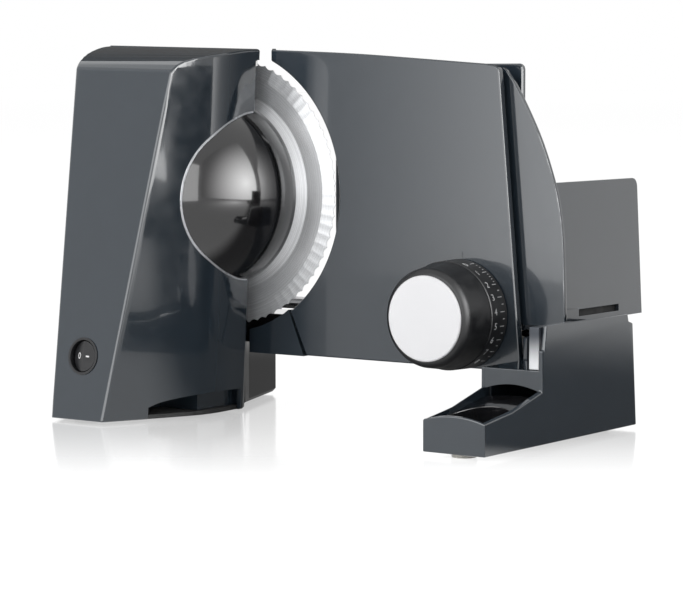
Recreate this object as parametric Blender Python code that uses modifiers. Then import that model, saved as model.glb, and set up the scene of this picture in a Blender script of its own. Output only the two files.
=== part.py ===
"""Kitchen food slicer, in metres, +Z up, operator's end at +X.

Each rigid piece is an object of its own. The named values at the top drive every
size. They are measured from the floor point under the blade's centre, and the
root empty then moves the whole slicer so that it stands centred on the origin.
"""

import math

import bmesh
import bpy
from mathutils import Matrix, Vector

# Overall place of the slicer
CENTRE_X = 0.0875
CENTRE_Y = 0.0145
WIDE = 0.6
SEAM = 0.0003
FIT = 0.00015
OVERLAP = 0.002
MERGE = 0.000001
SQUARE_ANGLE = 50.0
SMOOTH_ANGLE = 35.0
FLAT_ANGLE = 0.001

# Blade
BLADE_RADIUS = 0.085
BLADE_HEIGHT = 0.138
BLADE_CENTRE = (0.0, 0.0, BLADE_HEIGHT)
BLADE_EDGE_Y = 0.0
BLADE_SCALLOPS = 78
BLADE_SCALLOP_DEPTH = 0.0013
BLADE_SCALLOP_STEPS = 3
BLADE_BEVEL_RADIUS = 0.076
BLADE_STEP_RADIUS = 0.064
BLADE_DISH_RADIUS = 0.058
BLADE_BACK_Y = -0.0015
BLADE_DISH_Y = -0.0063
BLADE_SHEET = 0.0015
BLADE_BORE = 0.0093
BLADE_EDGE_SHEET = 0.0003

# Quarter-turn lock in the blade's dish
LOCK_RADIUS = 0.021
LOCK_BACK_Y = -0.0044
LOCK_FRONT_Y = -0.0012
LOCK_GRIP_Y = 0.0016
LOCK_GRIP_WIDTH = 0.009
LOCK_STEM_RADIUS = 0.0045
LOCK_STEM_Y = -0.012
LOCK_SOCKET_RADIUS = 0.0048

# Spindle, worm wheel and its nut
SPINDLE_RADIUS = 0.008
SPINDLE_NOSE_RADIUS = 0.009
SPINDLE_FLANGE_RADIUS = 0.016
SPINDLE_FLANGE_Y = -0.0082
SPINDLE_SEAT_Y = -0.0066
SPINDLE_NOSE_Y = -0.0047
SPINDLE_SOCKET_DEPTH = 0.009
SPINDLE_GEAR_RADIUS = 0.006
SPINDLE_SHOULDER_Y = -0.0357
SPINDLE_GEAR_END_Y = -0.0441
SPINDLE_TAIL_RADIUS = 0.005
SPINDLE_END_Y = -0.0565
WHEEL_TEETH = 40
WHEEL_MODULE = 0.0018
WHEEL_PITCH_RADIUS = WHEEL_TEETH * WHEEL_MODULE / 2
WHEEL_FRONT_Y = -0.036
WHEEL_BACK_Y = -0.044
WHEEL_HUB_RADIUS = 0.011
WHEEL_WEB_INSET = 0.0025
WHEEL_RIM_RADIUS = 0.0305
WHEEL_TIP_RISE = 0.0014
WHEEL_ROOT_FALL = 0.0019
NUT_RADIUS = 0.009
NUT_BACK_Y = -0.0472

# Worm and motor
WORM_PITCH_RADIUS = 0.007
WORM_X = -(WHEEL_PITCH_RADIUS + WORM_PITCH_RADIUS)
WORM_Y = (WHEEL_FRONT_Y + WHEEL_BACK_Y) / 2
WORM_TIP_RADIUS = WORM_PITCH_RADIUS + 0.0014
WORM_ROOT_RADIUS = WORM_PITCH_RADIUS - 0.0021
WORM_LEAD = math.pi * WHEEL_MODULE
WORM_LENGTH = 0.026
WORM_STEPS = 18
WORM_SHAFT_RADIUS = 0.003
WORM_SHAFT_TOP = BLADE_HEIGHT + 0.028
WORM_SHAFT_BOTTOM = 0.036
TOOTH_SLACK = 0.0002
TOOTH_FLANK = 0.36
MOTOR_RADIUS = 0.020
MOTOR_WALL = 0.0015
MOTOR_BOTTOM = 0.040
MOTOR_TOP = 0.092
MOTOR_VENT_WIDTH = 0.008
MOTOR_VENT_LENGTH = 0.020
ENDBELL_TOP = 0.098
ENDBELL_NECK_RADIUS = 0.009
ENDBELL_NECK_TOP = 0.101
ARMATURE_RADIUS = 0.0155
ARMATURE_BOTTOM = 0.050
ARMATURE_TOP = 0.082
ARMATURE_SLOTS = 9
ARMATURE_SLOT_WIDTH = 0.0016
ARMATURE_SLOT_DEPTH = 0.006
BRACKET_THICKNESS = 0.002
BRACKET_HALF_WIDTH = 0.021
BRACKET_RISE = 0.020

# Inner frame on pillars
FRAME_FRONT_Y = -0.0495
FRAME_BACK_Y = -0.0535
FRAME_OUTLINE = ((-0.057, 0.040), (-0.057, 0.018), (-0.009, -0.054), (0.0005, -0.054), (0.011, -0.026),
                 (0.011, 0.030), (0.0022, 0.046), (0.0, 0.054), (-0.020, 0.054))
FRAME_PILLAR_RADIUS = 0.004
FRAME_PILLARS = ((-0.049, 0.034), (-0.002, 0.047), (-0.004, -0.047))
FRAME_ARM_BOTTOM = BLADE_HEIGHT + 0.020
FRAME_ARM_TOP = BLADE_HEIGHT + 0.026
FRAME_ARM_HALF_WIDTH = 0.009
BUSH_RUNNING = 0.0001
MAIN_BUSH_RADIUS = 0.014
MAIN_BUSH_LIP = 0.0175
MAIN_BUSH_LIP_THICKNESS = 0.0015
MAIN_BUSH_FRONT_Y = -0.0195
MAIN_BUSH_REAR_Y = -0.0086
END_BUSH_RADIUS = 0.008
END_BUSH_BACK_Y = -0.0543
END_BUSH_FRONT_Y = -0.0496
WORM_BUSH_RADIUS = 0.006
WORM_BUSH_RISE = 0.0005

# Tower: front shell
TOWER_BOTTOM = 0.0015
TOWER_WALL = 0.0028
TOWER_REAR_Y = -0.018
TOWER_LIP_Y = -0.013
TOWER_LIP_BOTTOM = 0.221
TOWER_FOOT_PLAN = ((-0.003, -0.121), (0.010, -0.093), (0.020, -0.070), (0.025, -0.056),
                   (0.0265, -0.040), (0.0255, -0.026), (0.0248, -0.013))
TOWER_HEAD_PLAN = ((0.0276, -0.0818), (0.0310, -0.0725), (0.0345, -0.0620), (0.0372, -0.0520),
                   (0.0385, -0.0380), (0.0380, -0.0250), (0.0373, -0.0130))
TOWER_FOOT_LEFT = ((-0.092, -0.013), (-0.044, -0.121))
TOWER_HEAD_LEFT = ((-0.087, -0.013), (-0.0533, -0.0818))
TOWER_ROUND = 0.0022
TOWER_ROUND_ANGLE = 32.0
CURVE_STEPS = 2
ARCH_RIGHT = ((-0.128, 0.160), (-0.0925, 0.205), (-0.0850, 0.2150), (-0.0775, 0.2202),
              (-0.0615, 0.2236), (-0.0420, 0.2258), (-0.0245, 0.2273), (0.004, 0.2280))
ARCH_LEFT = ((-0.128, 0.166), (-0.0925, 0.209), (-0.0850, 0.2170), (-0.0775, 0.2214),
             (-0.0640, 0.2258), (-0.0430, 0.2290), (-0.0245, 0.2303), (0.004, 0.2310))
ARCH_RIGHT_X = 0.040
ARCH_LEFT_X = -0.090
ARCH_REAR_Y = 0.004
TOWER_LOFT_TOP = ARCH_LEFT[-1][1] + 0.009
FACET_LEAN = math.atan2(TOWER_HEAD_PLAN[0][1] - TOWER_FOOT_PLAN[0][1], TOWER_LOFT_TOP - TOWER_BOTTOM)

# Tower: closing plate and surround of the blade
BACK_FRONT_Y = -0.0177
BACK_REAR_Y = -0.0085
SURROUND_REAR_Y = BLADE_EDGE_Y
SURROUND_RADIUS = 0.0872
SURROUND_RIGHT_X = 0.020
SURROUND_BOTTOM = 0.060
BACK_RIGHT_FOOT_X = 0.0246
BACK_RIGHT_HEAD_X = 0.0373
BACK_CHAMFER = 0.0055

# Dome over the gear
DOME_RADIUS = 0.061
DOME_WALL = 0.0026
DOME_CENTRE_Y = -0.020
DOME_RIM_Y = -0.0075
DOME_INNER_X = 0.004
DOME_STEPS = 30
DOME_CENTRE = (0.0, DOME_CENTRE_Y, BLADE_HEIGHT)

# Cord's bay and inlet
BAY_FRONT_Y = -0.093
BAY_REAR_Y = -0.0205
BAY_ARCH = ((-0.093, 0.0090), (-0.0850, 0.0118), (-0.0717, 0.0139), (-0.0589, 0.0151),
            (-0.0485, 0.0156), (-0.0340, 0.0154), (-0.0205, 0.0148))
BAY_PANEL_X = 0.0190
BAY_DEEP_X = -0.010
BAY_STEP_Y = -0.056
BAY_LINER_WALL = 0.0018
BAY_LINER_TOP = 0.0195
BAY_ROOF_RIGHT_X = 0.0050
BAY_HOLE_LEFT_X = -0.005
GLAND_RADIUS = 0.0042
GLAND_LENGTH = 0.012
GLAND_BORE = 0.0024
GLAND_Y = -0.074
GLAND_Z = 0.0112

# Bottom cover and rubber feet
COVER_TOP = 0.0040
VENT_COUNT = 6
VENT_LENGTH = 0.030
VENT_WIDTH = 0.003
VENT_PITCH = 0.007
VENT_X = -0.040
VENT_Y = -0.052
PAD_RADIUS = 0.0075
PAD_STEM_RADIUS = 0.003
PAD_STEM_RISE = 0.0050
PAD_TAPER = 0.92
TOWER_PADS = ((-0.030, -0.104), (-0.070, 0.040))
FOOT_PADS = ((0.2465, -0.103), (0.2465, 0.043))

# Switch on the leaning facet
SWITCH_X = -0.0230
SWITCH_Z = 0.0405
SWITCH_RADIUS = 0.0100
SWITCH_BEZEL_RADIUS = 0.0115
SWITCH_BEZEL_DEPTH = 0.007
SWITCH_LIP = 0.0006
ROCKER_RADIUS = 0.0093
ROCKER_DEPTH = 0.0045
ROCKER_SWING = 8.0

# Rear base, bridge and lower guard
BASE_PLAN = ((-0.092, -0.0082), (0.0193, -0.0082), (0.0080, 0.011), (-0.014, 0.070), (-0.072, 0.070),
             (-0.092, 0.040))
BASE_TOP = 0.0590
WELL_REAR_Y = 0.0003
BASE_WALL = 0.003
BASE_ROUND = 0.0025
BASE_COVER_THICKNESS = 0.0022
BRIDGE_FRONT_Y = 0.0200
BRIDGE_REAR_Y = 0.0500
BRIDGE_BOTTOM = 0.0400
BRIDGE_TOP = 0.0590
BRIDGE_RIGHT_X = 0.2257
BRIDGE_WALL = 0.003
BRIDGE_ROOT_X = -0.010
BRIDGE_RIBS = 4
BRIDGE_END_BLOCK = 0.009
ROD_POST_X = -0.070
ROD_POST_HALF_WIDTH = 0.006
ROD_POST_HALF_DEPTH = 0.008
ROD_POST_TOP = 0.0725
GUARD_FRONT_Y = -0.0045
GUARD_REAR_Y = 0.0002
GUARD_RADIUS = 0.0895
GUARD_LEFT_X = 0.0205
GUARD_BOTTOM = 0.0362
GUARD_RIGHT_FOOT_X = 0.0632
GUARD_RIGHT_HEAD = (0.0515, 0.0648)
GUARD_TAB_LEFT = 0.026
GUARD_TAB_RIGHT = 0.044
GUARD_TAB_BOTTOM = 0.040
GUARD_TAB_TOP = 0.046

# Guide rod of the carriage
ROD_RADIUS = 0.004
ROD_Y = 0.030
ROD_Z = 0.066
ROD_LEFT_X = -0.076
ROD_RIGHT_X = 0.2330

# Right foot
FOOT_LEFT_X = 0.2260
FOOT_RIGHT_X = 0.2670
FOOT_FRONT_Y = -0.1140
FOOT_REAR_Y = 0.0558
FOOT_BOTTOM = 0.0024
FOOT_TOE_TOP = 0.0205
FOOT_TOE_HIP = 0.0325
FOOT_UPRIGHT_Y = -0.0535
FOOT_SHOULDER = 0.0445
FOOT_WALL = 0.0028
FOOT_TOP = 0.0700
FOOT_FRONT_TOP = 0.0560
FOOT_CHANNEL_FRONT_Y = -0.0560
FOOT_SAG_Y = -0.0850
FOOT_SAG_Z = 0.0245
FOOT_TOP_FRONT_Y = -0.0490
FOOT_TOP_STEP_Y = -0.0510
FOOT_TOP_REAR_Y = 0.0444
FOOT_STEP_REAR = ((0.0444, 0.0699), (0.0457, 0.0656), (0.0506, 0.0641), (0.0558, 0.0024))
FOOT_LEFT_TOP = 0.0580
FOOT_FLOOR = 0.0400
FOOT_ROUND = 0.0016
SCOOP_RADIUS_X = 0.0170
SCOOP_FRONT_Y = -0.1110
SCOOP_REAR_Y = -0.0590
SCOOP_FLOOR = 0.0120
SCOOP_MID_Y = -0.0850
SCOOP_NECK_Y = -0.0660
SCOOP_SHOULDER_X = 0.0110
FOOT_POCKET_FRONT_Y = -0.0480
BLOCK_LEFT_X = 0.2320
BLOCK_RIGHT_X = 0.2630
BLOCK_FRONT_Y = -0.0520
BLOCK_REAR_Y = -0.0080
BLOCK_TOP = 0.0690
BLOCK_ROUND = 0.004
ROD_BOSS_FRONT_Y = 0.0220
ROD_BOSS_REAR_Y = 0.0380
ROD_BOSS_TOP = 0.0720
ROD_BOSS_RIGHT_X = 0.2370

# Stop plate
PLATE_FRONT_Y = -0.0050
PLATE_REAR_Y = 0.0
PLATE_FOOT_LEFT = (0.0654, 0.0368)
PLATE_FOOT_RIGHT = (0.2227, 0.0367)
PLATE_HEAD_RIGHT = (0.2063, 0.2167)
PLATE_TOP_EDGE = ((0.1969, 0.2183), (0.1528, 0.2214), (0.0998, 0.2249), (0.0455, 0.2272),
                  (0.0383, 0.2273))
PLATE_NOTCH_RADIUS = 0.0910
PLATE_NOTCH_FROM = (0.0383, 0.2205)
PLATE_NOTCH_TO = (0.0530, 0.0642)
PLATE_NOTCH_STEPS = 18
PLATE_CORNER = 0.004
PLATE_ROUND = 0.0009

# Slide of the stop plate
CARRIER_REAR_Y = 0.0060
CARRIER_BOTTOM = 0.0420
CARRIER_TOP = 0.0555
CARRIER_LEFT_X = 0.0800
CARRIER_RIGHT_X = 0.2150
BAR_RADIUS = 0.0035
BAR_Z = 0.0495
BAR_XS = (0.092, 0.208)
BAR_END_Y = 0.0570
PLATE_BUSH_RADIUS = 0.0060

# Dial
DIAL_X = 0.1807
DIAL_Z = 0.0691
SCALE_RADIUS = 0.0330
SCALE_FRONT_RADIUS = 0.0326
SCALE_BORE = 0.0150
SCALE_BACK_Y = -0.0054
SCALE_FRONT_Y = -0.0216
GRIP_BACK_RADIUS = 0.0321
GRIP_BACK_Y = -0.0219
GRIP_FRONT_RADIUS = 0.0297
GRIP_SHOULDER_Y = -0.0405
GRIP_LIP_RADIUS = 0.0272
GRIP_FRONT_Y = -0.0440
CAP_RADIUS = 0.0255
CAP_SEAT_Y = -0.0425
CAP_FRONT_Y = -0.0450
CAP_ROUND = 0.0012
DIAL_STEM_RADIUS = 0.0060
DIAL_HUB_RADIUS = 0.0130
DIAL_HUB_FRONT_Y = -0.0214
DIAL_HUB_BACK_Y = -0.0056
DIAL_STEM_BACK_Y = 0.0006
DIAL_CLIP_RADIUS = 0.0095
DIAL_CLIP_BACK_Y = 0.0022

# Carriage
BED_LEFT_X = 0.0580
BED_RIGHT_X = 0.2180
BED_FRONT_Y = 0.0064
BED_REAR_Y = 0.1420
BED_TOP = 0.0780
BED_THICKNESS = 0.0045
BACK_WALL = 0.0030
BACK_WALL_TOP = 0.1470
BACK_WALL_BOTTOM = 0.0604
BACK_WALL_HEEL_Y = 0.1500
BED_ROUND = 0.006
BED_RIBS = 9
BED_RIB_RISE = 0.0006
BED_RIB_WIDTH = 0.0014
SLOT_BOTTOM = 0.0640
SLOT_TOP = 0.0680
SLOT_FRONT_Y = 0.0480
SLOT_REAR_Y = 0.1200
ROD_NOTCH_HALF = 0.0065
FIN_FRONT_Y = 0.0030
FIN_REAR_Y = 0.0061
FIN_CURVE = ((0.2481, 0.0640), (0.2464, 0.1095), (0.2442, 0.1300), (0.2400, 0.1486),
             (0.2302, 0.1748), (0.2163, 0.2010), (0.2065, 0.2150))
FIN_TIP = (0.2038, 0.2165)
FIN_HEEL = (0.2035, 0.0635)
FIN_ROUND = 0.0009
SLEEVE_LEFT_X = 0.1500
SLEEVE_RIGHT_X = 0.2100
SLEEVE_HALF_WIDTH = 0.0065
SLEEVE_BOTTOM = 0.0604
GLIDE_LEFT_X = 0.1900
GLIDE_RIGHT_X = 0.2080
GLIDE_FRONT_Y = 0.0410
GLIDE_REAR_Y = 0.0480

# Leftover holder
HOLDER_FRONT_Y = 0.0120
HOLDER_REAR_Y = 0.0160
HOLDER_LEFT_X = 0.0755
HOLDER_RIGHT_X = 0.2125
HOLDER_BOTTOM = 0.0792
HOLDER_TOP = 0.2185
HOLDER_CORNER = 0.0035
SPIKE_STRIP_Y = 0.0105
SPIKE_TIP_Y = 0.0072
SPIKE_RADIUS = 0.0009
SPIKE_COLUMNS = 6
SPIKE_SIDES = 5
SPIKE_ROWS = 2
SPIKE_PITCH_X = 0.016
SPIKE_PITCH_Z = 0.022
SPIKE_CENTRE_X = 0.144
SPIKE_CENTRE_Z = 0.110
HANDLE_X = 0.144
HANDLE_Z = 0.150
HANDLE_PROFILE = ((0.0144, 0.0), (0.0126, 0.0037), (0.0090, 0.0114), (0.0090, 0.0229), (0.0176, 0.0311),
                  (0.0220, 0.0366), (0.0205, 0.0420), (0.0132, 0.0457))
HOOK_RIGHT_X = 0.2222
HOOK_TOP = 0.1515
HOOK_INNER_BOTTOM = 0.1180
HOOK_OUTER_BOTTOM = 0.1320
HOOK_INNER_X = 0.2105
HOOK_FLANGE_LEFT_X = 0.1960
HOOK_REAR_Y = 0.0560

# Sides of round pieces
SIDES_LARGE = 56
SIDES_DIAL = 36
SIDES_MEDIUM = 24
SIDES_SMALL = 16
SIDES_TINY = 12

# Screws
SCREW_HEAD_RADIUS = 0.0032
SCREW_HEAD_DEPTH = 0.0020
SCREW_SHANK_RADIUS = 0.0016
SCREW_LENGTH = 0.0075
SCREW_SLOT_DEPTH = 0.0009
BACK_SCREWS = ((-0.060, 0.100), (-0.060, 0.185), (-0.028, 0.078), (-0.024, 0.198))
FOOT_SCREW_YS = (0.027, 0.043)
FOOT_SCREW_Z = 0.0495


def empty_scene():
    """Remove whatever the scene holds."""
    for found in list(bpy.data.objects):
        bpy.data.objects.remove(found, do_unlink=True)


def new_collection(name):
    """Add a collection under the scene's own."""
    made = bpy.data.collections.new(name)
    bpy.context.scene.collection.children.link(made)
    return made


empty_scene()
PARTS = new_collection("food_slicer")
CUTTERS = new_collection("cutters")
CUTTERS.hide_render = True
ROOT = bpy.data.objects.new("slicer_root", None)
ROOT.location = (-CENTRE_X, -CENTRE_Y, 0.0)
PARTS.objects.link(ROOT)


def new_pivot(name, place, tilt=0.0):
    """Add an empty on a joint's axis."""
    made = bpy.data.objects.new(name, None)
    made.parent = ROOT
    made.location = place
    made.rotation_euler = (tilt, 0.0, 0.0)
    PARTS.objects.link(made)
    return made


def new_material(name, colour, roughness, metallic=0.0):
    """Make a Principled material."""
    made = bpy.data.materials.new(name)
    made.use_nodes = True
    shader = made.node_tree.nodes["Principled BSDF"]
    shader.inputs["Base Color"].default_value = (*colour, 1.0)
    shader.inputs["Roughness"].default_value = roughness
    shader.inputs["Metallic"].default_value = metallic
    made.diffuse_color = (*colour, 1.0)
    return made


SLATE_PLASTIC = new_material("slate_gloss_plastic", (0.09, 0.105, 0.12), 0.16)
DOME_PLASTIC = new_material("dome_gloss_plastic", (0.012, 0.012, 0.014), 0.1)
BLACK_PLASTIC = new_material("black_satin_plastic", (0.02, 0.021, 0.023), 0.42)
BLADE_STEEL = new_material("ground_blade_steel", (0.8, 0.8, 0.81), 0.22, 1.0)
CAP_SILVER = new_material("satin_silver", (0.85, 0.85, 0.86), 0.3, 0.9)
BRUSHED_STEEL = new_material("brushed_steel", (0.6, 0.6, 0.61), 0.35, 1.0)
CORE_IRON = new_material("rotor_iron", (0.25, 0.25, 0.26), 0.6, 1.0)
BRONZE = new_material("bearing_bronze", (0.55, 0.38, 0.18), 0.4, 1.0)
RUBBER = new_material("black_rubber", (0.05, 0.05, 0.05), 0.85)
NYLON = new_material("pale_nylon", (0.82, 0.80, 0.74), 0.5)


def add_object(name, mesh, material, pivot=None, local=False):
    """Put a mesh among the parts, under the root or under a joint's pivot."""
    made = bpy.data.objects.new(name, mesh)
    PARTS.objects.link(made)
    made.parent = pivot or ROOT
    if pivot and not local:
        made.location = -pivot.location
    mesh.materials.append(material)
    return made


def add_cutter(name, mesh, parent=None):
    """Put a mesh among the cutters, which never show."""
    made = bpy.data.objects.new(name, mesh)
    CUTTERS.objects.link(made)
    made.parent = parent or ROOT
    made.hide_render = True
    made.display_type = "WIRE"
    return made


def boolean(target, other, operation):
    """Apply a Boolean to a part with another mesh."""
    step = target.modifiers.new(other.name, "BOOLEAN")
    step.operation = operation
    step.solver = "EXACT"
    step.object = other
    return step


def cut(target, mesh, parent=None):
    """Take a mesh away from a part."""
    boolean(target, add_cutter(mesh.name, mesh, parent), "DIFFERENCE")


def join(target, mesh, parent=None):
    """Fuse a mesh to a part."""
    boolean(target, add_cutter(mesh.name, mesh, parent), "UNION")


def keep_inside(target, mesh, parent=None):
    """Keep only what a part shares with a mesh."""
    boolean(target, add_cutter(mesh.name, mesh, parent), "INTERSECT")


def round_edges(target, width, segments, angle):
    """Round a part's sharp edges."""
    step = target.modifiers.new("round", "BEVEL")
    step.width = width
    step.segments = segments
    step.limit_method = "ANGLE"
    step.angle_limit = math.radians(angle)
    step.harden_normals = False


def finish_mesh(name, work, smooth=False):
    """Turn a bmesh into a mesh whose faces point outwards."""
    bmesh.ops.recalc_face_normals(work, faces=work.faces)
    mesh = bpy.data.meshes.new(name)
    work.to_mesh(mesh)
    work.free()
    if smooth:
        mesh.shade_smooth()
        mesh.set_sharp_from_angle(angle=math.radians(SMOOTH_ANGLE))
    return mesh


def bake(name, made, matrix, smooth=False):
    """Keep a helper object's evaluated shape as a closed mesh, and remove the helper."""
    CUTTERS.objects.link(made)
    graph = bpy.context.evaluated_depsgraph_get()
    shape = bpy.data.meshes.new_from_object(made.evaluated_get(graph))
    bpy.data.objects.remove(made, do_unlink=True)
    work = bmesh.new()
    work.from_mesh(shape)
    bpy.data.meshes.remove(shape)
    bmesh.ops.remove_doubles(work, verts=work.verts, dist=MERGE)
    if not smooth:
        bmesh.ops.dissolve_limit(work, angle_limit=FLAT_ANGLE, verts=work.verts, edges=work.edges)
    bmesh.ops.transform(work, matrix=matrix, verts=work.verts)
    return finish_mesh(name, work, smooth)


def loft(name, sections):
    """Join closed sections that have the same number of points."""
    work = bmesh.new()
    rings = [[work.verts.new(point) for point in section] for section in sections]
    for below, above in zip(rings, rings[1:]):
        for here in range(len(below)):
            there = (here + 1) % len(below)
            work.faces.new((below[here], below[there], above[there], above[here]))
    work.faces.new(rings[0])
    work.faces.new(rings[-1])
    return finish_mesh(name, work)


def prism(name, outline, axis, start, end):
    """Extrude a flat outline along X, Y or Z. The outline holds the other two coordinates."""
    turn = {
        "X": Matrix(((0, 0, 1, 0), (1, 0, 0, 0), (0, 1, 0, 0), (0, 0, 0, 1))),
        "Y": Matrix(((1, 0, 0, 0), (0, 0, 1, 0), (0, 1, 0, 0), (0, 0, 0, 1))),
        "Z": Matrix.Identity(4),
    }[axis]
    flat = bpy.data.curves.new(name, "CURVE")
    flat.dimensions = "2D"
    flat.fill_mode = "BOTH"
    flat.extrude = abs(end - start) / 2
    line = flat.splines.new("POLY")
    line.points.add(len(outline) - 1)
    line.use_cyclic_u = True
    for point, (first, second) in zip(line.points, outline):
        point.co = (first, second, 0.0, 1.0)
    middle = Matrix.Translation((0.0, 0.0, (start + end) / 2))
    made = bake(name, bpy.data.objects.new(name, flat), turn @ middle)
    bpy.data.curves.remove(flat)
    return made


def box(name, low, high):
    """A block between two corners."""
    work = bmesh.new()
    middle = (Vector(low) + Vector(high)) / 2
    size = Vector(high) - Vector(low)
    bmesh.ops.create_cube(work, size=1.0, matrix=Matrix.LocRotScale(middle, None, size))
    return finish_mesh(name, work)


def turn_matrix(axis, centre):
    """Carry local Z to an axis through a centre."""
    turns = {
        "X": Matrix.Rotation(math.pi / 2, 4, "Y"),
        "Y": Matrix.Rotation(-math.pi / 2, 4, "X"),
        "Z": Matrix.Identity(4),
    }
    return Matrix.Translation(centre) @ turns[axis]


def cylinder(name, radius, start, end, axis="Z", centre=(0.0, 0.0, 0.0), segments=SIDES_MEDIUM,
             end_radius=None):
    """A straight or tapered round bar along an axis."""
    work = bmesh.new()
    bmesh.ops.create_cone(
        work,
        cap_ends=True,
        segments=segments,
        radius1=radius,
        radius2=radius if end_radius is None else end_radius,
        depth=end - start,
        matrix=turn_matrix(axis, centre) @ Matrix.Translation((0.0, 0.0, (start + end) / 2)),
    )
    return finish_mesh(name, work, True)


def revolve(name, profile, axis="Z", centre=(0.0, 0.0, 0.0), segments=SIDES_MEDIUM, closed=False):
    """Spin a profile of (radius, along) points round an axis. An open profile ends on the axis."""
    points = [(radius, 0.0, along) for radius, along in profile]
    edges = [(here, here + 1) for here in range(len(points) - 1)]
    if closed:
        edges.append((len(points) - 1, 0))
    line = bpy.data.meshes.new(f"{name}_line")
    line.from_pydata(points, edges, [])
    spun = bpy.data.objects.new(name, line)
    turn = spun.modifiers.new("turn", "SCREW")
    turn.axis = "Z"
    turn.angle = 2 * math.pi
    turn.steps = segments
    turn.render_steps = segments
    turn.use_merge_vertices = True
    turn.merge_threshold = MERGE
    made = bake(name, spun, turn_matrix(axis, centre), True)
    bpy.data.meshes.remove(line)
    return made


def merge_meshes(name, meshes):
    """Gather separate closed meshes into one mesh, for use as one cutter."""
    work = bmesh.new()
    for mesh in meshes:
        work.from_mesh(mesh)
        bpy.data.meshes.remove(mesh)
    made = bpy.data.meshes.new(name)
    work.to_mesh(made)
    work.free()
    return made


def smooth_line(points, steps):
    """A Catmull-Rom curve through the points."""
    path = [Vector(point) for point in points]
    ends = [2 * path[0] - path[1]] + path + [2 * path[-1] - path[-2]]
    made = []
    for before, here, there, after in zip(ends, ends[1:], ends[2:], ends[3:]):
        for step in range(steps):
            part = step / steps
            made.append(
                0.5 * (2 * here + (there - before) * part
                       + (2 * before - 5 * here + 4 * there - after) * part ** 2
                       + (3 * here - before - 3 * there + after) * part ** 3)
            )
    return [tuple(point) for point in made] + [tuple(path[-1])]


def inset(outline, distance):
    """Move each side of an anticlockwise outline inwards."""
    count = len(outline)
    made = []
    for here in range(count):
        before = Vector(outline[here - 1])
        corner = Vector(outline[here])
        after = Vector(outline[(here + 1) % count])
        first = (corner - before).normalized()
        second = (after - corner).normalized()
        inward_first = Vector((-first.y, first.x))
        inward_second = Vector((-second.y, second.x))
        lean = inward_first + inward_second
        made.append(tuple(corner + lean * (distance * 2 / lean.length_squared)))
    return made


def arc(centre, radius, start, end, steps):
    """Points along an arc, with angles in radians."""
    return [
        (
            centre[0] + radius * math.cos(start + (end - start) * step / steps),
            centre[1] + radius * math.sin(start + (end - start) * step / steps),
        )
        for step in range(steps + 1)
    ]


def rounded_box_outline(left, right, bottom, top, corner, steps=4):
    """An outline with four round corners, anticlockwise."""
    quarter = math.pi / 2
    corners = (
        ((right - corner, bottom + corner), -quarter),
        ((right - corner, top - corner), 0.0),
        ((left + corner, top - corner), quarter),
        ((left + corner, bottom + corner), math.pi),
    )
    points = []
    for centre, start in corners:
        points += arc(centre, corner, start, start + quarter, steps)
    return points


# Tower


def tower_sections(distance, bottom, top):
    """The tower's plan at two heights, moved inwards by a distance."""
    made = []
    for level in (bottom, top):
        part = (level - TOWER_BOTTOM) / (TOWER_LOFT_TOP - TOWER_BOTTOM)
        foot = smooth_line(TOWER_FOOT_PLAN, CURVE_STEPS) + list(TOWER_FOOT_LEFT)
        head = smooth_line(TOWER_HEAD_PLAN, CURVE_STEPS) + list(TOWER_HEAD_LEFT)
        plan = [
            (low[0] + (high[0] - low[0]) * part, low[1] + (high[1] - low[1]) * part)
            for low, high in zip(foot, head)
        ]
        if distance:
            plan = inset(plan, distance)
        made.append([(x, y, level) for x, y in plan])
    return made


def arch_prism(name, drop):
    """The space under the tower's arched top, lowered by a drop."""
    sections = []
    for x, line in ((ARCH_LEFT_X, ARCH_LEFT), (ARCH_RIGHT_X, ARCH_RIGHT)):
        slope = (ARCH_RIGHT[-1][1] - ARCH_LEFT[-1][1]) / (ARCH_RIGHT_X - ARCH_LEFT_X)
        reach = x + math.copysign(OVERLAP * 10, x)
        lift = slope * (reach - x) - drop
        front = [(reach, line[0][0], -OVERLAP * 5)]
        rear = [(reach, ARCH_REAR_Y, line[-1][1] + lift), (reach, ARCH_REAR_Y, -OVERLAP * 5)]
        sections.append(front + [(reach, y, z + lift) for y, z in line[:-1]] + rear)
    return loft(name, sections)


def bay_outline(grow):
    """The cord bay's outline in Y and Z, open at the bottom."""
    arch = [(y, z + grow) for y, z in smooth_line(BAY_ARCH, CURVE_STEPS)]
    return [(BAY_FRONT_Y, -OVERLAP)] + arch + [(BAY_REAR_Y, -OVERLAP)]


def switch_frame():
    """A pivot on the leaning facet, its Y axis square to the facet."""
    facet_y = TOWER_FOOT_PLAN[0][1] + (SWITCH_Z - TOWER_BOTTOM) * math.tan(FACET_LEAN)
    return new_pivot("switch_axis", (SWITCH_X, facet_y, SWITCH_Z), -FACET_LEAN)


def dome_profile(outer, inner, rim_y):
    """Half-section of the dome's shell, from the rim to the pole on the camera's side."""
    rise = rim_y - DOME_CENTRE_Y
    start_outer = math.acos(rise / outer)
    start_inner = math.acos(rise / inner)
    steps = DOME_STEPS // 3
    outside = [
        (outer * math.sin(angle), outer * math.cos(angle))
        for angle in (start_outer + (math.pi - start_outer) * step / steps for step in range(steps + 1))
    ]
    inside = [
        (inner * math.sin(angle), inner * math.cos(angle))
        for angle in (start_inner + (math.pi - start_inner) * step / steps for step in range(steps + 1))
    ]
    return [(0.0, -outer)] + outside[:-1][::-1] + inside[:-1] + [(0.0, -inner)]


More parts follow.
